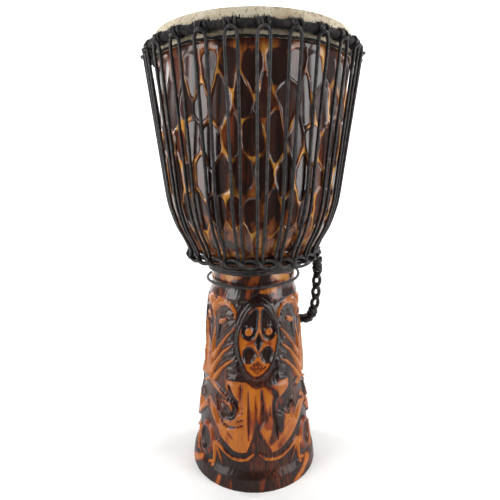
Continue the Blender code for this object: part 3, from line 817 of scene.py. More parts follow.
def fray_mesh(name):
    chance = random.Random(23)
    points, faces = [], []
    level = CROWN_RING_HEIGHT + CROWN_RING_TALL / 2 + FRAY_RAISED
    for middle in HITCHES_AT:
        for _ in range(FRAY_SPIKES):
            angle = middle + chance.gauss(0.0, FRAY_SPREAD) / CROWN_RING_RADIUS
            foot = round_point(angle, CROWN_RING_RADIUS + chance.uniform(-0.003, 0.005), level)
            lean = Vector((chance.uniform(-1, 1), chance.uniform(-1, 1), 0.0)) * 0.9
            tip = foot + (Vector((0, 0, 1)) + lean).normalized() * chance.uniform(*FRAY_LENGTHS)
            thick = chance.uniform(*FRAY_THICKNESSES)
            base = len(points)
            for k in range(4):
                t = math.pi / 2 * k
                points.append(foot + Vector((math.cos(t), math.sin(t), -1.5)) * thick)
            points.append(tip)
            faces += [(base + k, base + (k + 1) % 4, base + 4) for k in range(4)]
            faces.append((base + 3, base + 2, base + 1, base))
    return mesh_of(name, points, faces)


make_piece(cord_mesh("crown_hitches", hitches(), HITCH_CORD), CORD, "rope")
make_piece(fray_mesh("frayed_ends"), CLOTH, "rope")

# %% [markdown]
# ## The goatskin
#
# The wet skin is laid over the rim, gripped between the rings and pulled down, so it is flat on top, turns over
# a rounded edge and gathers in faint pleats above the crown ring. It is turned from one outline, with the
# pleats added as small waves that grow towards the ring.

# %% Make the skin
SKIRT_BOTTOM = DRUM_HEIGHT - 0.0303
RIM_ROUNDING = 0.004
SKIN_SIDES = 220
PLEAT = 0.00045
PLEATS_ROUND = 71
PLEATS_START, PLEATS_GROW = 0.003, 0.012


def skin_mesh(name):
    inner = SKIRT_OUTER - SKIN
    outer = [(r, DRUM_HEIGHT) for r in (0.02, 0.05, 0.08, 0.10, 0.112, 0.118)]
    for turn in (90, 70, 50, 30, 10):
        t = math.radians(turn)
        height = DRUM_HEIGHT - RIM_ROUNDING * (1 - math.sin(t))
        outer.append((SKIRT_OUTER - RIM_ROUNDING * (1 - math.cos(t)), height))
    low = np.linspace(DRUM_HEIGHT - RIM_ROUNDING - 0.001, SKIRT_BOTTOM, 12)
    outer += [(SKIRT_OUTER, float(z)) for z in low]
    under = [(inner, float(z)) for z in low[::-3]] + [(r, SHELL_TOP + GAP) for r in (inner, 0.10, 0.05)]
    work = bmesh.new()
    rings = []
    for r, z in outer + under:
        row = []
        for i in range(SKIN_SIDES):
            angle = TURN * i / SKIN_SIDES
            side = ease((DRUM_HEIGHT - PLEATS_START - z) / PLEATS_GROW) if r >= inner else 0.0
            wave = noise.noise(Vector((math.cos(angle) * 9, math.sin(angle) * 9, z * 30)))
            pleat = 0.5 * math.sin(angle * PLEATS_ROUND + 3 * wave) + 0.5 * wave
            row.append(work.verts.new(round_point(angle, r + PLEAT * float(side) * pleat, z)))
        rings.append(row)
    join_rows(work, rings)
    work.faces.new(rings[0])
    work.faces.new(rings[-1][::-1])
    return mesh_from(work, name)


make_piece(skin_mesh("goatskin_head"), SKIN_FINISH, "skin", "drum_head")

# %% [markdown]
# ## The carving on the foot
#
# The foot is carved in low relief: an almond mask between two scrolls, leaves, a fluted apron with curled ends,
# a scalloped border and forked legs, and the same panel again on the other sides. Sculpting tools would do it
# by eye. Here each form is a stroke of a brush that changes its width along the way, drawn on a flat panel in
# millimetres and then wrapped round the foot, so every ridge and hollow has a place and a width to change.
#
# A carver cuts the big forms first and the small ones into them, and the strokes follow that order. Each one
# also says whether the sandpaper bared it, because some high places were left black.

# %% A panel that is raised and cut stroke by stroke
PANELS = 3
PANEL_TURN = math.radians(4.5)
PANEL_HALF = 75.0
PANEL_TALL = 252.0
CARVING_DEPTH = 0.006
GROUND = -0.8
TOOL_MARKS = 0.05
SMUDGED = 0.10
NECK_BARED = 0.20
BARED_EDGE = 1.4
CARVED_FROM, CARVED_TO = 16.0, 267.0
BARED_PATCHES = (
    ((-62, 294, 9), (-32, 300, 12)),
    ((6, 275, 6), (28, 279, 8)),
    ((30, 298, 8), (60, 290, 8)),
    ((-48, 2, 4), (-45, 14, 5)),
    ((40, 1, 6), (56, 9, 8), (70, 20, 8)),
)


def carved_there(up):
    """1 in the carved field, falling to 0 on the plain band below it and the neck above it."""
    return ease((up - CARVED_FROM) / 12.0) * ease((CARVED_TO - up) / 8.0)


def stroke(across, up, stops):
    """How far each place is outside a stroke, in mm. A stop is a place across and up, and a half width."""
    nearest = np.full(np.shape(across), 1e9)
    for (u0, v0, w0), (u1, v1, w1) in zip(stops, stops[1:]):
        du, dv = u1 - u0, v1 - v0
        share = np.clip(((across - u0) * du + (up - v0) * dv) / (du * du + dv * dv), 0.0, 1.0)
        outside = np.hypot(across - u0 - share * du, up - v0 - share * dv) - w0 - share * (w1 - w0)
        nearest = np.minimum(nearest, outside)
    return nearest


class Panel:
    """The carving at each place: its height as a share of its depth, and how far the wood is bared."""

    def __init__(self, across, up):
        self.u, self.v = across, up
        self.side = np.abs(across)
        carved = carved_there(up)
        self.level = GROUND * carved
        self.bare = np.where(up > PANEL_TALL / 2, NECK_BARED, SMUDGED) * (1.0 - carved)

    def lift(self, outside, top=0.0, edge=3.0, bare=1.0):
        """Raises a form with rounded edges. A form that isn't bared covers what was bared before."""
        self.level = np.maximum(self.level, GROUND + (top - GROUND) * ease(-outside / edge))
        self.tone(outside + 0.3, bare, BARED_EDGE)

    def cut(self, outside, floor=-1.0, edge=2.5, bare=0.0):
        """Cuts a form down to a floor, and leaves it black."""
        self.level = self.level + np.minimum(floor - self.level, 0.0) * ease(-outside / edge)
        self.tone(outside - 0.4, bare, BARED_EDGE)

    def tone(self, outside, bare, edge=7.0):
        """Leaves the shape alone, and fades the wood towards burnt or bared."""
        self.bare = self.bare + (bare - self.bare) * ease(-outside / edge)

    def drawn(self, stops):
        return stroke(self.u, self.v, stops)

    def mirrored(self, stops):
        return stroke(self.side, self.v, stops)


# %% [markdown]
# ### Scrolls and leaves
#
# A broad stalk rises between two panels and curls over into a scroll on each side, and three leaves fan out
# from it towards the mask. They are the same on both sides, so they are drawn once, by the distance from the
# panel's middle.

# %% Draw the scrolls and leaves
SCROLL = (
    (79, 146, 10), (79, 200, 8.5), (81, 230, 7), (77, 247, 8), (66, 259, 7.5), (52, 260, 5), (41, 256, 4),
    (34, 248, 3.2), (34, 241, 2.6),
)
LEAVES = (
    ((70, 179, 5), (57, 200, 3.4), (46, 214, 2.8), (33, 228, 1.6)),
    ((73, 157, 5.5), (62, 176, 3.8), (52, 190, 3.2), (38, 202, 1.8)),
    ((66, 149, 5), (57, 162, 3.8), (46, 174, 3.2), (33, 183, 1.6)),
)
LEAF_HOLLOWS = (
    ((70, 208, 3.5), (67, 232, 5.5), (60, 246, 4), (50, 250, 2.5)),
    ((62, 208, 3), (52, 221, 3), (40, 233, 2.5)),
    ((64, 184, 2), (52, 202, 3.5), (38, 217, 4.5)),
    ((64, 166, 1.5), (50, 183, 3), (38, 192, 4)),
    ((58, 153, 1.5), (44, 167, 2.5), (33, 174, 2.5)),
)
BLACK_RIDGES = (
    ((66, 204, 1.5), (62, 222, 2.2), (62, 238, 1.8), (54, 245, 1.2)),
    ((57, 213, 1.2), (48, 224, 1.8), (37, 232, 1.2)),
    ((60, 191, 1), (50, 204, 1.8), (40, 210, 1.4), (35, 222, 1.2)),
    ((59, 173, 1), (48, 185, 1.6), (36, 190, 1.2)),
    ((53, 157, 1), (43, 167, 1.6), (30, 168, 2.2), (22, 164, 1)),
    ((30, 262, 3), (35, 268, 4)),
)
BLACK_FACETS = (((50, 245, 2.5), (39, 244, 3)), ((27, 182, 1.5), (32, 173, 5)), ((31, 155, 5), (41, 153, 5)))


def scrolls_and_leaves(panel):
    panel.lift(panel.mirrored(SCROLL), 0.0, 5.5)
    for stops in LEAF_HOLLOWS:
        panel.cut(panel.mirrored(stops), -1.0, 3.5)
    for stops in BLACK_RIDGES:
        panel.lift(panel.mirrored(stops), -0.35, 1.8, 0.1)
    for stops in LEAVES:
        panel.lift(panel.mirrored(stops), -0.05, 3.0)
    panel.lift(panel.mirrored(((60, 231, 4.2), (50, 236, 3.4))), -0.25, 3.2)
    for stops in BLACK_FACETS:
        panel.lift(panel.mirrored(stops), -0.3, 2.0, 0.0)
    panel.cut(panel.mirrored(((71, 176, 0.7), (69, 205, 0.9))), -0.35, 1.2, 0.2)


# %% [markdown]
# ### The apron
#
# Below the mask hangs an apron with dark flutes. Two bands sweep down from the sides like thighs and end in
# round lobes. On the left it holds a ringed curl, and on the right a deep oval.

# %% Draw the apron
BORDER_SHIFT = 3.0
BORDER_GROOVE = ((1, 57, 2.5), (8, 51.5, 4), (19, 48.5, 4.6), (29, 51, 5), (44, 63, 5), (56, 75, 5), (72, 94, 5))
THIGH = ((82, 117, 8), (65, 100, 6.5), (54, 85, 6.5), (41, 71, 7), (25, 61, 7))
ELBOW = ((84, 150, 3.5), (70, 141, 3.4), (56, 133, 3), (43, 125, 2))
FLUTES = (
    ((-13, 142, 1), (-12.5, 105, 2.6), (-12, 72, 1.2)),
    ((-5, 146, 0.6), (-4, 118, 0.8)),
    ((3.5, 143, 1.2), (5, 120, 3.2), (4, 99, 4.6), (0, 87, 2.5)),
    ((14, 119, 1.0), (14, 106, 1.4)),
    ((18, 128, 1), (19.5, 104, 2.6), (22.5, 88, 3.2), (23, 71, 1.6)),
    ((-23, 147, 0.9), (-23, 118, 0.9)),
    ((-40, 145, 2.4), (-34, 131, 3.6), (-31, 122, 1.2)),
    ((-2, 98, 0.8), (-2, 82, 5), (-1, 68, 10), (0, 56, 15)),
    ((-38, 79, 0.9), (-29, 69, 1)),
    ((33, 84, 0.9), (44, 94, 1.2)),
)
NICKS = (116, 108, 99, 91)
SCORCHED = (
    (((-16, 156, 7), (4, 152, 7), (24, 154, 9)), 0.15),
    (((10, 152, 6), (22, 134, 9), (27, 110, 14), (24, 84, 12), (14, 68, 7)), 0.2),
    (((-3, 128, 3), (-2, 98, 7), (0, 66, 10)), 0.25),
    (((52, 104, 8), (42, 84, 9), (26, 62, 8)), 0.62),
    (((-13, 140, 3), (-12, 100, 7), (-12, 74, 4)), 0.3),
    (((5, 142, 4), (6, 112, 9), (12, 90, 8)), 0.2),
    (((-22, 146, 6), (-21, 112, 7)), 0.45),
    (((-62, 96, 3), (-46, 74, 4)), 0.6),
    (((62, 150, 5), (50, 140, 4)), 0.5),
)
CURL_AND_OVAL = (
    ("cut", ((-55, 117, 7), (-46, 110, 13), (-39, 108, 11.5)), -1.0, 3.5),
    ("lift", ((-52, 113, 3), (-43, 104, 4.5), (-36, 103, 3)), -0.5, 3.0, 0.0),
    ("lift", ((-54, 119, 1.2), (-46, 121.5, 2.4), (-37, 117.5, 3.2), (-35, 110, 2)), -0.25, 2.2),
    ("lift", ((-62, 126, 1.2), (-56, 106, 1.9), (-46, 96, 2.2), (-36, 95, 1.9), (-28.5, 102, 1.7),
              (-27.5, 113, 1.4), (-34, 122, 1.4), (-45, 127, 1.2)), 0.05, 1.8, 0.5),
    ("cut", ((-52, 94, 1.6), (-39, 87.5, 2.6), (-29, 88, 1.4)), -0.8, 2.2),
    ("cut", ((28, 113, 7.5), (38, 121, 9.5), (52, 131, 5.5), (59, 135, 2.5)), -1.0, 4.0),
    ("lift", ((21, 111, 1.2), (28, 102, 1.8), (42, 108, 1.7), (54, 121, 1.3)), 0.05, 1.8, 0.5),
    ("lift", ((50, 115, 4), (54, 108, 4.5)), 0.0, 3.5, 0.1),
    ("cut", ((61, 114, 2.5), (70, 111, 3)), -0.7, 2.2),
    ("cut", ((-74, 112, 1.5), (-66, 96, 2.2)), -0.6, 2.0),
)


def beside_border(panel):
    """How far each place is to the side of the border's middle, which lies a little off the panel's."""
    return np.abs(panel.u + BORDER_SHIFT * (1.0 - (panel.u / PANEL_HALF) ** 2))


def above_border(panel):
    """How far each place is above the scalloped groove, less than 0 where it is below it."""
    across, up, _ = zip(*BORDER_GROOVE)
    return panel.v - np.interp(beside_border(panel), across, up)


def apron(panel):
    wide = 27.0 + 20.0 * ease((panel.v - 122.0) / 20.0) + 28.0 * ease((112.0 - panel.v) / 24.0)
    field = np.maximum(panel.side - wide, np.maximum(panel.v - 153.0, -above_border(panel)))
    panel.lift(field, -0.05, 7.0)
    panel.lift(panel.mirrored(THIGH), 0.0, 6.0)
    panel.cut(panel.mirrored(((82, 134, 3), (66, 128, 3), (58, 121, 2))), -1.0, 3.0)
    panel.lift(panel.mirrored(ELBOW), 0.0, 3.0)
    for stops in FLUTES:
        panel.cut(panel.drawn(stops), -0.75, 2.4, 0.1)
    for height in NICKS:
        panel.cut(panel.drawn(((-26, height - 1, 0.9), (-19, height + 2, 1.3))), -0.5, 1.4, 0.1)
    panel.lift(panel.drawn(((5, 80, 0.8), (4.5, 72, 2.4), (3, 63, 1.4))), -0.2, 2.0)
    for way, stops, *shape in CURL_AND_OVAL:
        getattr(panel, way)(panel.drawn(stops), *shape)
    for stops, bare in SCORCHED:
        panel.tone(panel.drawn(stops), bare)


# %% [markdown]
# ### The scalloped border and the legs
#
# A double scallop runs under the lobes: a dark groove, and a thin ridge below it. At the sides it splits into
# forked legs that stand on the plain band, with a deep pit between the legs of neighbouring panels.

# %% Draw the border and the legs
BORDER_RIDGE = ((3, 52, 1.6), (11, 44, 2.8), (20, 41.5, 2.6), (29, 42, 2.2), (40, 48, 2.6), (54, 58, 3.6))
LEGS = (
    ((92, 24, 5), (76, 37, 4.4), (57, 54, 5)),
    ((57, 55, 4), (55.5, 36, 3), (57, 22, 2.4)),
    ((53, 51, 2.2), (46, 37, 1.8), (40, 24, 1.2)),
    ((57, 27, 2.6), (64, 24, 2.2)),
)
PIT_MIDDLE, PIT_HALF_WIDE, PIT_HALF_TALL = 54.0, 11.0, 18.0


def border_and_legs(panel):
    across = beside_border(panel)
    panel.cut(stroke(across, panel.v, BORDER_GROOVE), -1.0, 3.5)
    panel.lift(stroke(across, panel.v, BORDER_RIDGE), -0.25, 2.6)
    for stops in LEGS:
        panel.lift(stroke(across, panel.v, stops), -0.15, 3.2)
    pit = np.hypot((panel.side - PANEL_HALF) / PIT_HALF_WIDE, (panel.v - PIT_MIDDLE) / PIT_HALF_TALL) - 1.0
    panel.lift(pit * PIT_HALF_WIDE - 6.0, -0.15, 5.0, 0.45)
    panel.cut(pit * PIT_HALF_WIDE, -1.0, 4.0)


# %% [markdown]
# ### The mask
#
# The mask is egg-shaped, narrow at the chin, with a black rounded rim and an orange border inside it. Two dark
# wings fall from the brow and hold the round eyes. Below them come a lozenge nose, hollow cheeks whose tips
# meet, and a mouth cut with crossed lines. Its middle line leans a little, so it is drawn from a leaning line.

# %% Draw the mask
MASK_MIDDLE, MASK_UP, MASK_DOWN, MASK_HALF, MASK_POINT = 215.0, 56.0, 66.0, 34.0, 1.75
MASK_LEAN, MASK_SHIFT = 0.05, 0.8
MASK_TRENCH, MASK_FIELD = 1.07, 0.79
BROW_WING = ((6, 251, 5.5), (9.6, 242, 9.2), (13, 231, 12.2), (14.5, 222, 10.8))
CHEEK = ((1.8, 191, 1.8), (7.5, 193, 5.8), (12.8, 195, 8.6), (12.6, 188, 8.8))
NOSE_MIDDLE, NOSE_HALF_WIDE, NOSE_HALF_TALL = 209.5, 6.6, 15.0
MOUTH_MIDDLE, MOUTH_HALF_WIDE, MOUTH_HALF_TALL = 174.5, 12.0, 10.5
EYE = (14.6, 223.0)
EYE_RADIUS = 6.3
HATCH_MM = 4.6


def mask(panel):
    lean = (panel.v - 205.0) * MASK_LEAN
    tall = np.where(panel.v > MASK_MIDDLE, MASK_UP, MASK_DOWN)
    x, y = np.abs(panel.u - lean) / MASK_HALF, np.abs(panel.v - MASK_MIDDLE) / tall
    egg = (x**MASK_POINT + y**MASK_POINT) ** (1 / MASK_POINT)
    panel.cut((egg - MASK_TRENCH) * MASK_HALF, -0.95, 3.0)
    panel.lift((egg - 1.0) * MASK_HALF, 0.12, 5.0, 0.0)
    panel.cut((egg - MASK_FIELD) * MASK_HALF, -0.14, 1.2, 1.0)
    side = np.abs(panel.u - lean - MASK_SHIFT)
    panel.tone(stroke(side, panel.v, ((2, 214, 4), (16, 206, 5))), 0.5, 6.0)
    panel.cut(stroke(side, panel.v, BROW_WING), -0.85, 3.2)
    panel.cut(stroke(side, panel.v, CHEEK), -0.9, 3.2)
    nose = side / NOSE_HALF_WIDE + np.abs(panel.v - NOSE_MIDDLE) / NOSE_HALF_TALL - 1.0
    panel.cut(nose * NOSE_HALF_WIDE, -0.85, 2.0)
    eye = np.hypot(side - EYE[0], panel.v - EYE[1]) - EYE_RADIUS
    panel.lift(eye - 1.9, -0.42, 1.4, 0.0)
    panel.lift(eye, -0.12, 1.6)
    panel.cut(eye + 4.2, -0.25, 1.4, 0.9)
    mouth = (side / MOUTH_HALF_WIDE + np.abs(panel.v - MOUTH_MIDDLE) / MOUTH_HALF_TALL - 1.0) * 7.0
    panel.cut(mouth, -0.35, 1.5, 0.2)
    crossed = [np.cos(TURN * (panel.u + way * 0.8 * panel.v) / HATCH_MM) for way in (-1, 1)]
    lines = ease((np.maximum(*crossed) - 0.35) / 0.5) * ease(-mouth / 1.5)
    panel.level = panel.level + 0.22 * lines
    panel.bare = panel.bare + 0.45 * lines


# %% Wrap the panel round the foot


def foot_surface(angle, height):
    """Radius, and how far it is bared, for arrays of angles and heights."""
    width = TURN / PANELS
    across = (angle - PANEL_TURN + width / 2) % width - width / 2
    panel = Panel(across / (width / 2) * PANEL_HALF, height / FOOT_TOP * PANEL_TALL)
    for stops in BARED_PATCHES:
        panel.tone(panel.drawn(stops), 0.95)
    for draw in (scrolls_and_leaves, apron, border_and_legs, mask):
        draw(panel)
    chopped = np.sin(0.75 * panel.u + 2.0 * np.sin(0.23 * panel.v))
    chopped = chopped * np.sin(0.6 * panel.v + 1.8 * np.sin(0.31 * panel.u))
    ground = ease((0.5 - panel.bare) / 0.4) * (0.6 + 0.4 * carved_there(panel.v))
    level = panel.level + TOOL_MARKS * chopped * ground
    return outline(height) + CARVING_DEPTH * level, np.clip(panel.bare, 0.0, 1.0)


print("relief from the deepest hollow to the top, mm:", CARVING_DEPTH * 1000)

# %% [markdown]
# ## The shell
#
# The bowl was shaped with an adze, which leaves staggered scoops with thin ridges between them. Each scoop here
# is a cell of a staggered lattice. Its edge is drawn at the ridge's full height, steps down where the blade
# went in, and the floor is nearly flat across, which is why a whole scoop can mirror a lamp at once.
#
# The foot is a fine grid, the scoops follow their own outlines, and the bore inside is turned. The three are
# bridged into one closed body with a real wall, open at both ends.

# %% Make the shell
FOOT_ROWS = 156
SCOOPS_ROUND = 32
SCOOP_ROWS = 6
SCOOP_POINT = 0.22
SCOOP_WANDER = 0.24
SCOOP_DEPTH = 0.0016
LEAST_DEPTH = 0.0006
RIDGE_HALF, RIDGE_VARIES = 0.0004, 0.0008
WALL_FOOT, FLOOR_START, FLOOR_MIDDLE = 0.0012, 0.0036, 0.45
EDGE_DROP = 0.00015
EDGE_WAVER = 0.0016
DEPTH_SHARES = (0.8, 1.15)
LEAN_ACROSS, LEAN_UP = 0.055, 0.02
# The lowest scoops get a lighter stain that fades out upwards: a painted sheen for the paper they mirror.
LOW_SCOOPS_PAINTED_SHEEN, LOW_SCOOPS_PAINTED_SHEEN_TALL = 0.47, 0.10
SCOOPS_BOTTOM = NECK_HEIGHT + 0.026
SCOOPS_TOP = DRUM_HEIGHT - 0.034
EDGE_STEPS = 6
FOOT_COLUMNS = 2 * SCOOPS_ROUND * EDGE_STEPS
ROUNDED_WIDE, ROUNDED_TALL, ROUNDED_POWER = 0.97, 0.86, 2.6
BORE_COLUMNS = 96


def lattice():
    """Angles and heights of the corners where the ridges between the scoops meet."""
    chance = random.Random(7)
    columns = 2 * SCOOPS_ROUND
    step = TURN / columns
    tall = (SCOOPS_TOP - SCOOPS_BOTTOM) / SCOOP_ROWS
    rows = []
    for line in range(SCOOP_ROWS + 1):
        free = 0.0 if line in (0, SCOOP_ROWS) else 1.0
        row = []
        for i in range(columns):
            point = free * SCOOP_POINT * (-1) ** (i + line)
            wander = free * SCOOP_WANDER
            height = SCOOPS_BOTTOM + tall * (line + point + wander * chance.uniform(-1, 1))
            row.append(((i + wander * chance.uniform(-1, 1)) * step, height))
        rows.append(row)
    return rows


def scoop_rings(edge, chance):
    """Rings of (angle, height, radius, sanded) from a scoop's edge inwards, and where its middle is."""
    turns = np.array([p[0] for p in edge])
    heights = np.array([p[1] for p in edge])
    middle = float(turns.mean())
    level = float((heights.min() + heights.max()) / 2)
    across = (turns - middle) * float(outline(level))
    up = heights - level
    wide, tall = ROUNDED_WIDE * np.abs(across).max(), ROUNDED_TALL * np.abs(up).max()
    oval = (np.abs(across / wide) ** ROUNDED_POWER + np.abs(up / tall) ** ROUNDED_POWER) ** (1 / ROUNDED_POWER)
    rounded = np.minimum(1.0, 1.0 / oval)
    reach = np.hypot(across, up)
    round_turn = np.arctan2(up, across)
    phase = chance.uniform(0.0, TURN)
    ridge = (RIDGE_HALF + RIDGE_VARIES * chance.random()) * (1.0 + 0.6 * np.sin(2 * round_turn + phase))
    glow = chance.random() ** 2
    rings = [(across, up, 1.0)]
    steps = ((ridge, 0.95), (ridge + WALL_FOOT, 0.12 + 0.4 * glow), (ridge + FLOOR_START, 0.35 * glow))
    for inset, sanded in steps:
        share = rounded * (reach - inset) / reach
        rings.append((across * share, up * share, sanded))
    rings.append((across * FLOOR_MIDDLE, up * FLOOR_MIDDLE, 0.0))
    depth = SCOOP_DEPTH * chance.uniform(*DEPTH_SHARES)
    lean = (chance.uniform(-LEAN_ACROSS, LEAN_ACROSS), chance.uniform(-LEAN_UP, LEAN_UP))
    made = []
    for n, (x, y, sanded) in enumerate(rings):
        place = level + y
        radius = outline(place)
        turn = middle + x / float(outline(level))
        if n >= 2:
            floor = (radius - depth) / np.cos(turn - middle) + lean[0] * x + lean[1] * y
            radius = np.minimum(floor, radius - LEAST_DEPTH)
        elif n == 1:
            radius = radius - EDGE_DROP
        made.append((turn, place, radius, sanded))
    return made, (middle, level, float(outline(level)) - depth)


def bared_with_painted_sheen(share, angle, height):
    """How far wood is bared there, unevenly along the ridges, plus a painted sheen:
    a lighter stain all over the lowest scoops.
    """
    uneven = noise.noise(Vector((math.sin(angle) * 7, math.cos(angle) * 7, height * 45)))
    fades = ease((height - SCOOPS_BOTTOM + 0.01) / 0.045) * (1.0 - 0.6 * ease((height - SCOOPS_TOP + 0.02) / 0.02))
    # Painted sheen: a lighter stain on the lowest scoops, fading out upwards.
    stain_and_painted_sheen = LOW_SCOOPS_PAINTED_SHEEN * (1.0 - ease((height - SCOOPS_BOTTOM) / LOW_SCOOPS_PAINTED_SHEEN_TALL))
    return float(max(share * np.clip(0.68 + 1.1 * uneven, 0.1, 1.0) * fades, stain_and_painted_sheen))


def shell_mesh(name):
    work = bmesh.new()
    # "sanded" holds the bared wood and, on the lowest scoops, a painted sheen.
    sanded_layer = work.verts.layers.float.new("sanded")
    worn_layer = work.verts.layers.float.new("worn")

    def corner(angle, radius, height, sanded, worn):
        made = work.verts.new(round_point(angle, radius, height))
        made[sanded_layer] = sanded
        made[worn_layer] = worn
        return made

    angles = np.arange(FOOT_COLUMNS) * TURN / FOOT_COLUMNS
    heights = np.linspace(0.0, NECK_HEIGHT, FOOT_ROWS)
    grid_angle, grid_height = np.meshgrid(angles, heights)
    radius, sanded = foot_surface(grid_angle, grid_height)
    foot = []
    for height, row_radius, row_sanded in zip(heights, radius, sanded):
        foot.append([corner(a, r, height, s, 0.5) for a, r, s in zip(angles, row_radius, row_sanded)])
    join_rows(work, foot)

    chance = random.Random(17)
    rows = lattice()
    columns = 2 * SCOOPS_ROUND
    shared = {}

    def edge_points(a, b):
        """Points along one ridge between two corners of the lattice, wavering as a blade does."""
        points = []
        for k in range(EDGE_STEPS):
            share = k / EDGE_STEPS
            turn, height = (p + share * (q - p) for p, q in zip(a, b))
            waver = EDGE_WAVER * math.sin(math.pi * share)
            shift = noise.noise(Vector((math.sin(turn) * 6, math.cos(turn) * 6, height * 70)))
            free = 0.0 if a[1] == b[1] and a[1] in (SCOOPS_BOTTOM, SCOOPS_TOP) else 1.0
            points.append((turn + free * waver * shift / 0.12, height))
        return points

    def vertex(point):
        key = (round(point[0] % (TURN), 6) % round(TURN, 6), round(point[1], 6))
        if key not in shared:
            shared[key] = corner(point[0], float(outline(point[1])), point[1], bared_with_painted_sheen(1.0, *point), 0.5)
        return shared[key]

    for line in range(SCOOP_ROWS):
        for i in range(columns):
            if (i + line) % 2 == 0:
                continue
            ids = [(line, i - 1), (line, i), (line, i + 1), (line + 1, i + 1), (line + 1, i), (line + 1, i - 1)]
            corners = []
            for row, column in ids:
                turn, height = rows[row][column % columns]
                corners.append((turn + TURN * (column // columns), height))
            edge = []
            for a, b in zip(corners, corners[1:] + corners[:1]):
                swap = a > b
                points = edge_points(b, a) if swap else edge_points(a, b)
                if swap:
                    points = [a] + points[:0:-1]
                edge += points
            rings, centre = scoop_rings(edge, chance)
            worn = chance.random()
            nested = [[vertex(p) for p in edge]]
            for turn, place, radius, bare in rings[1:]:
                nested.append([corner(t, r, z, bared_with_painted_sheen(bare, t, z), worn) for t, r, z in zip(turn, radius, place)])
            join_rows(work, nested)
            turn, place, radius = centre
            tip = corner(turn, radius, place, bared_with_painted_sheen(0.0, turn, place), worn)
            for one, other in zip(nested[-1], nested[-1][1:] + nested[-1][:1]):
                work.faces.new((one, other, tip))

    def ring_of(row):
        """The shared vertices along the bottom or top line of the lattice."""
        found = []
        for i in range(columns):
            turn = rows[row][i][0]
            after = turn + TURN / columns
            found += [vertex(p) for p in edge_points((turn, rows[row][i][1]), (after, rows[row][i][1]))]
        return found

    low_ring, top_ring = ring_of(0), ring_of(SCOOP_ROWS)
    around = len(low_ring)

    def plain_ring(height, sanded):
        radius = float(outline(height))
        return [corner(TURN * i / around, radius, height, sanded, 0.5) for i in range(around)]

    above_neck = [plain_ring(NECK_HEIGHT + 0.004, 0.3), plain_ring(NECK_HEIGHT + 0.014, 0.35)]
    join_rows(work, [foot[-1], *above_neck, low_ring])
    join_rows(work, [top_ring, plain_ring((SCOOPS_TOP + SHELL_TOP) / 2, 0.1), plain_ring(SHELL_TOP, 0.1)])
    rim = list(work.verts)[-around:]

    inside = []
    for height in [*np.linspace(0.0, NECK_HEIGHT, 6), *np.linspace(NECK_HEIGHT + 0.01, SHELL_TOP, 10)]:
        turns = [TURN * i / BORE_COLUMNS for i in range(BORE_COLUMNS)]
        inside.append([corner(turn, bore(height), height, 0.1, 0.2) for turn in turns])
    join_rows(work, inside)

    def loop_edges(ring):
        pairs = zip(ring, ring[1:] + ring[:1])
        return [edge for a, b in pairs for edge in a.link_edges if edge.other_vert(a) is b]

    for one, other in ((rim, inside[-1]), (foot[0], inside[0])):
        bmesh.ops.bridge_loops(work, edges=loop_edges(one) + loop_edges(other))
    open_edges = sum(1 for edge in work.edges if not edge.is_manifold)
    print("shell: open edges", open_edges, "triangles", sum(len(f.verts) - 2 for f in work.faces))
    return mesh_from(work, name)


make_piece(shell_mesh("carved_shell"), WOOD, "wood", "shell")

# %% [markdown]
# ## Floor and light
#
# The picture is a plain studio shot: white paper under and behind the drum, and a tall soft lamp on each side.
# The paper is one sheet that curves up behind the drum, so no horizon shows. The two main lamps stand well
# round to the sides, because a flat scoop mirrors what lies at twice its own angle: that puts the grey
# reflections on the scoops half way round, and leaves those at the front dark. Two more lamps behind the drum
# light only the paper, so that it stays evenly white. The paper ends about 25 cm in front of the drum, because
# varnish mirrors whatever lies there, and more white paper would turn its black into grey.

# %% Make the paper sweep
SWEEP_HALF_WIDTH = 4.0
SWEEP_FRONT = -0.34
SWEEP_BACK = 1.8
SWEEP_BEND = 0.8
SWEEP_TOP = 3.4
FIBRE_MM = 25.0


def make_paper():
    paper, tree, shader = new_finish("white_paper", metallic=0.0, roughness=0.85)
    place = add(tree, "TexCoord", out="Object")
    fibre = add(tree, "TexNoise", {"Vector": place, "Scale": 1000 / FIBRE_MM, "Detail": 5.0})
    colour = add(tree, "Mix", {0: fibre, 6: linear("#f3f3f2"), 7: linear("#fbfbfa")}, **COLOURS)
    feed(tree, shader, base_color=colour)
    return paper


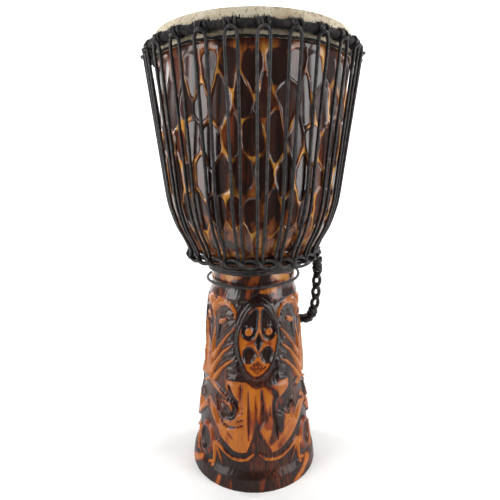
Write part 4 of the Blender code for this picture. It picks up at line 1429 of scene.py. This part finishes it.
profile = [(SWEEP_FRONT, 0.0), (SWEEP_BACK, 0.0)]
for turn in range(10, 91, 10):
    t = math.radians(turn)
    profile.append((SWEEP_BACK + SWEEP_BEND * math.sin(t), SWEEP_BEND * (1 - math.cos(t))))
profile.append((SWEEP_BACK + SWEEP_BEND, SWEEP_TOP))
sweep_points = [(side * SWEEP_HALF_WIDTH, y, z) for y, z in profile for side in (-1, 1)]
sweep_faces = [(2 * i, 2 * i + 1, 2 * i + 3, 2 * i + 2) for i in range(len(profile) - 1)]
sweep_data = mesh_of("paper_sweep", sweep_points, sweep_faces)
sweep_data.materials.append(make_paper())
sweep_data.shade_smooth()
sweep = put_in_scene("paper_sweep", sweep_data)

# %% Hang the lamps
LAMPS = (
    ("left_softbox", (-1.06, -0.66, 0.62), (0.0, 0.0, 0.40), (0.66, 1.40), 18.0),
    ("right_softbox", (1.10, -0.59, 0.62), (0.0, 0.0, 0.40), (0.66, 1.40), 18.0),
    ("ceiling_softbox", (0.0, 0.2, 2.4), (0.0, 0.2, 0.0), (2.4, 2.4), 14.0),
    ("left_backdrop_lamp", (-1.9, 1.1, 1.5), (-0.6, 2.6, 0.9), (0.9, 1.6), 60.0),
    ("right_backdrop_lamp", (1.9, 1.1, 1.5), (0.6, 2.6, 0.9), (0.9, 1.6), 60.0),
)


def hang_lamp(name, spot, aim, size, power):
    """A rectangular lamp at a spot, turned to face its aim."""
    data = bpy.data.lights.new(name, "AREA")
    data.shape = "RECTANGLE"
    data.size, data.size_y = size
    data.energy = power
    lamp = put_in_scene(name, data)
    lamp.location = spot
    lamp.rotation_euler = (Vector(aim) - Vector(spot)).to_track_quat("-Z", "Y").to_euler()


for lamp in LAMPS:
    hang_lamp(*lamp)

world = bpy.data.worlds.new("studio")
world.use_nodes = True
world.node_tree.nodes["Background"].inputs["Color"].default_value = linear("#e8ecf2")
world.node_tree.nodes["Background"].inputs["Strength"].default_value = 0.12
bpy.context.scene.world = world
bpy.context.scene.view_settings.view_transform = "Standard"
print("lamps:", [lamp[0] for lamp in LAMPS])
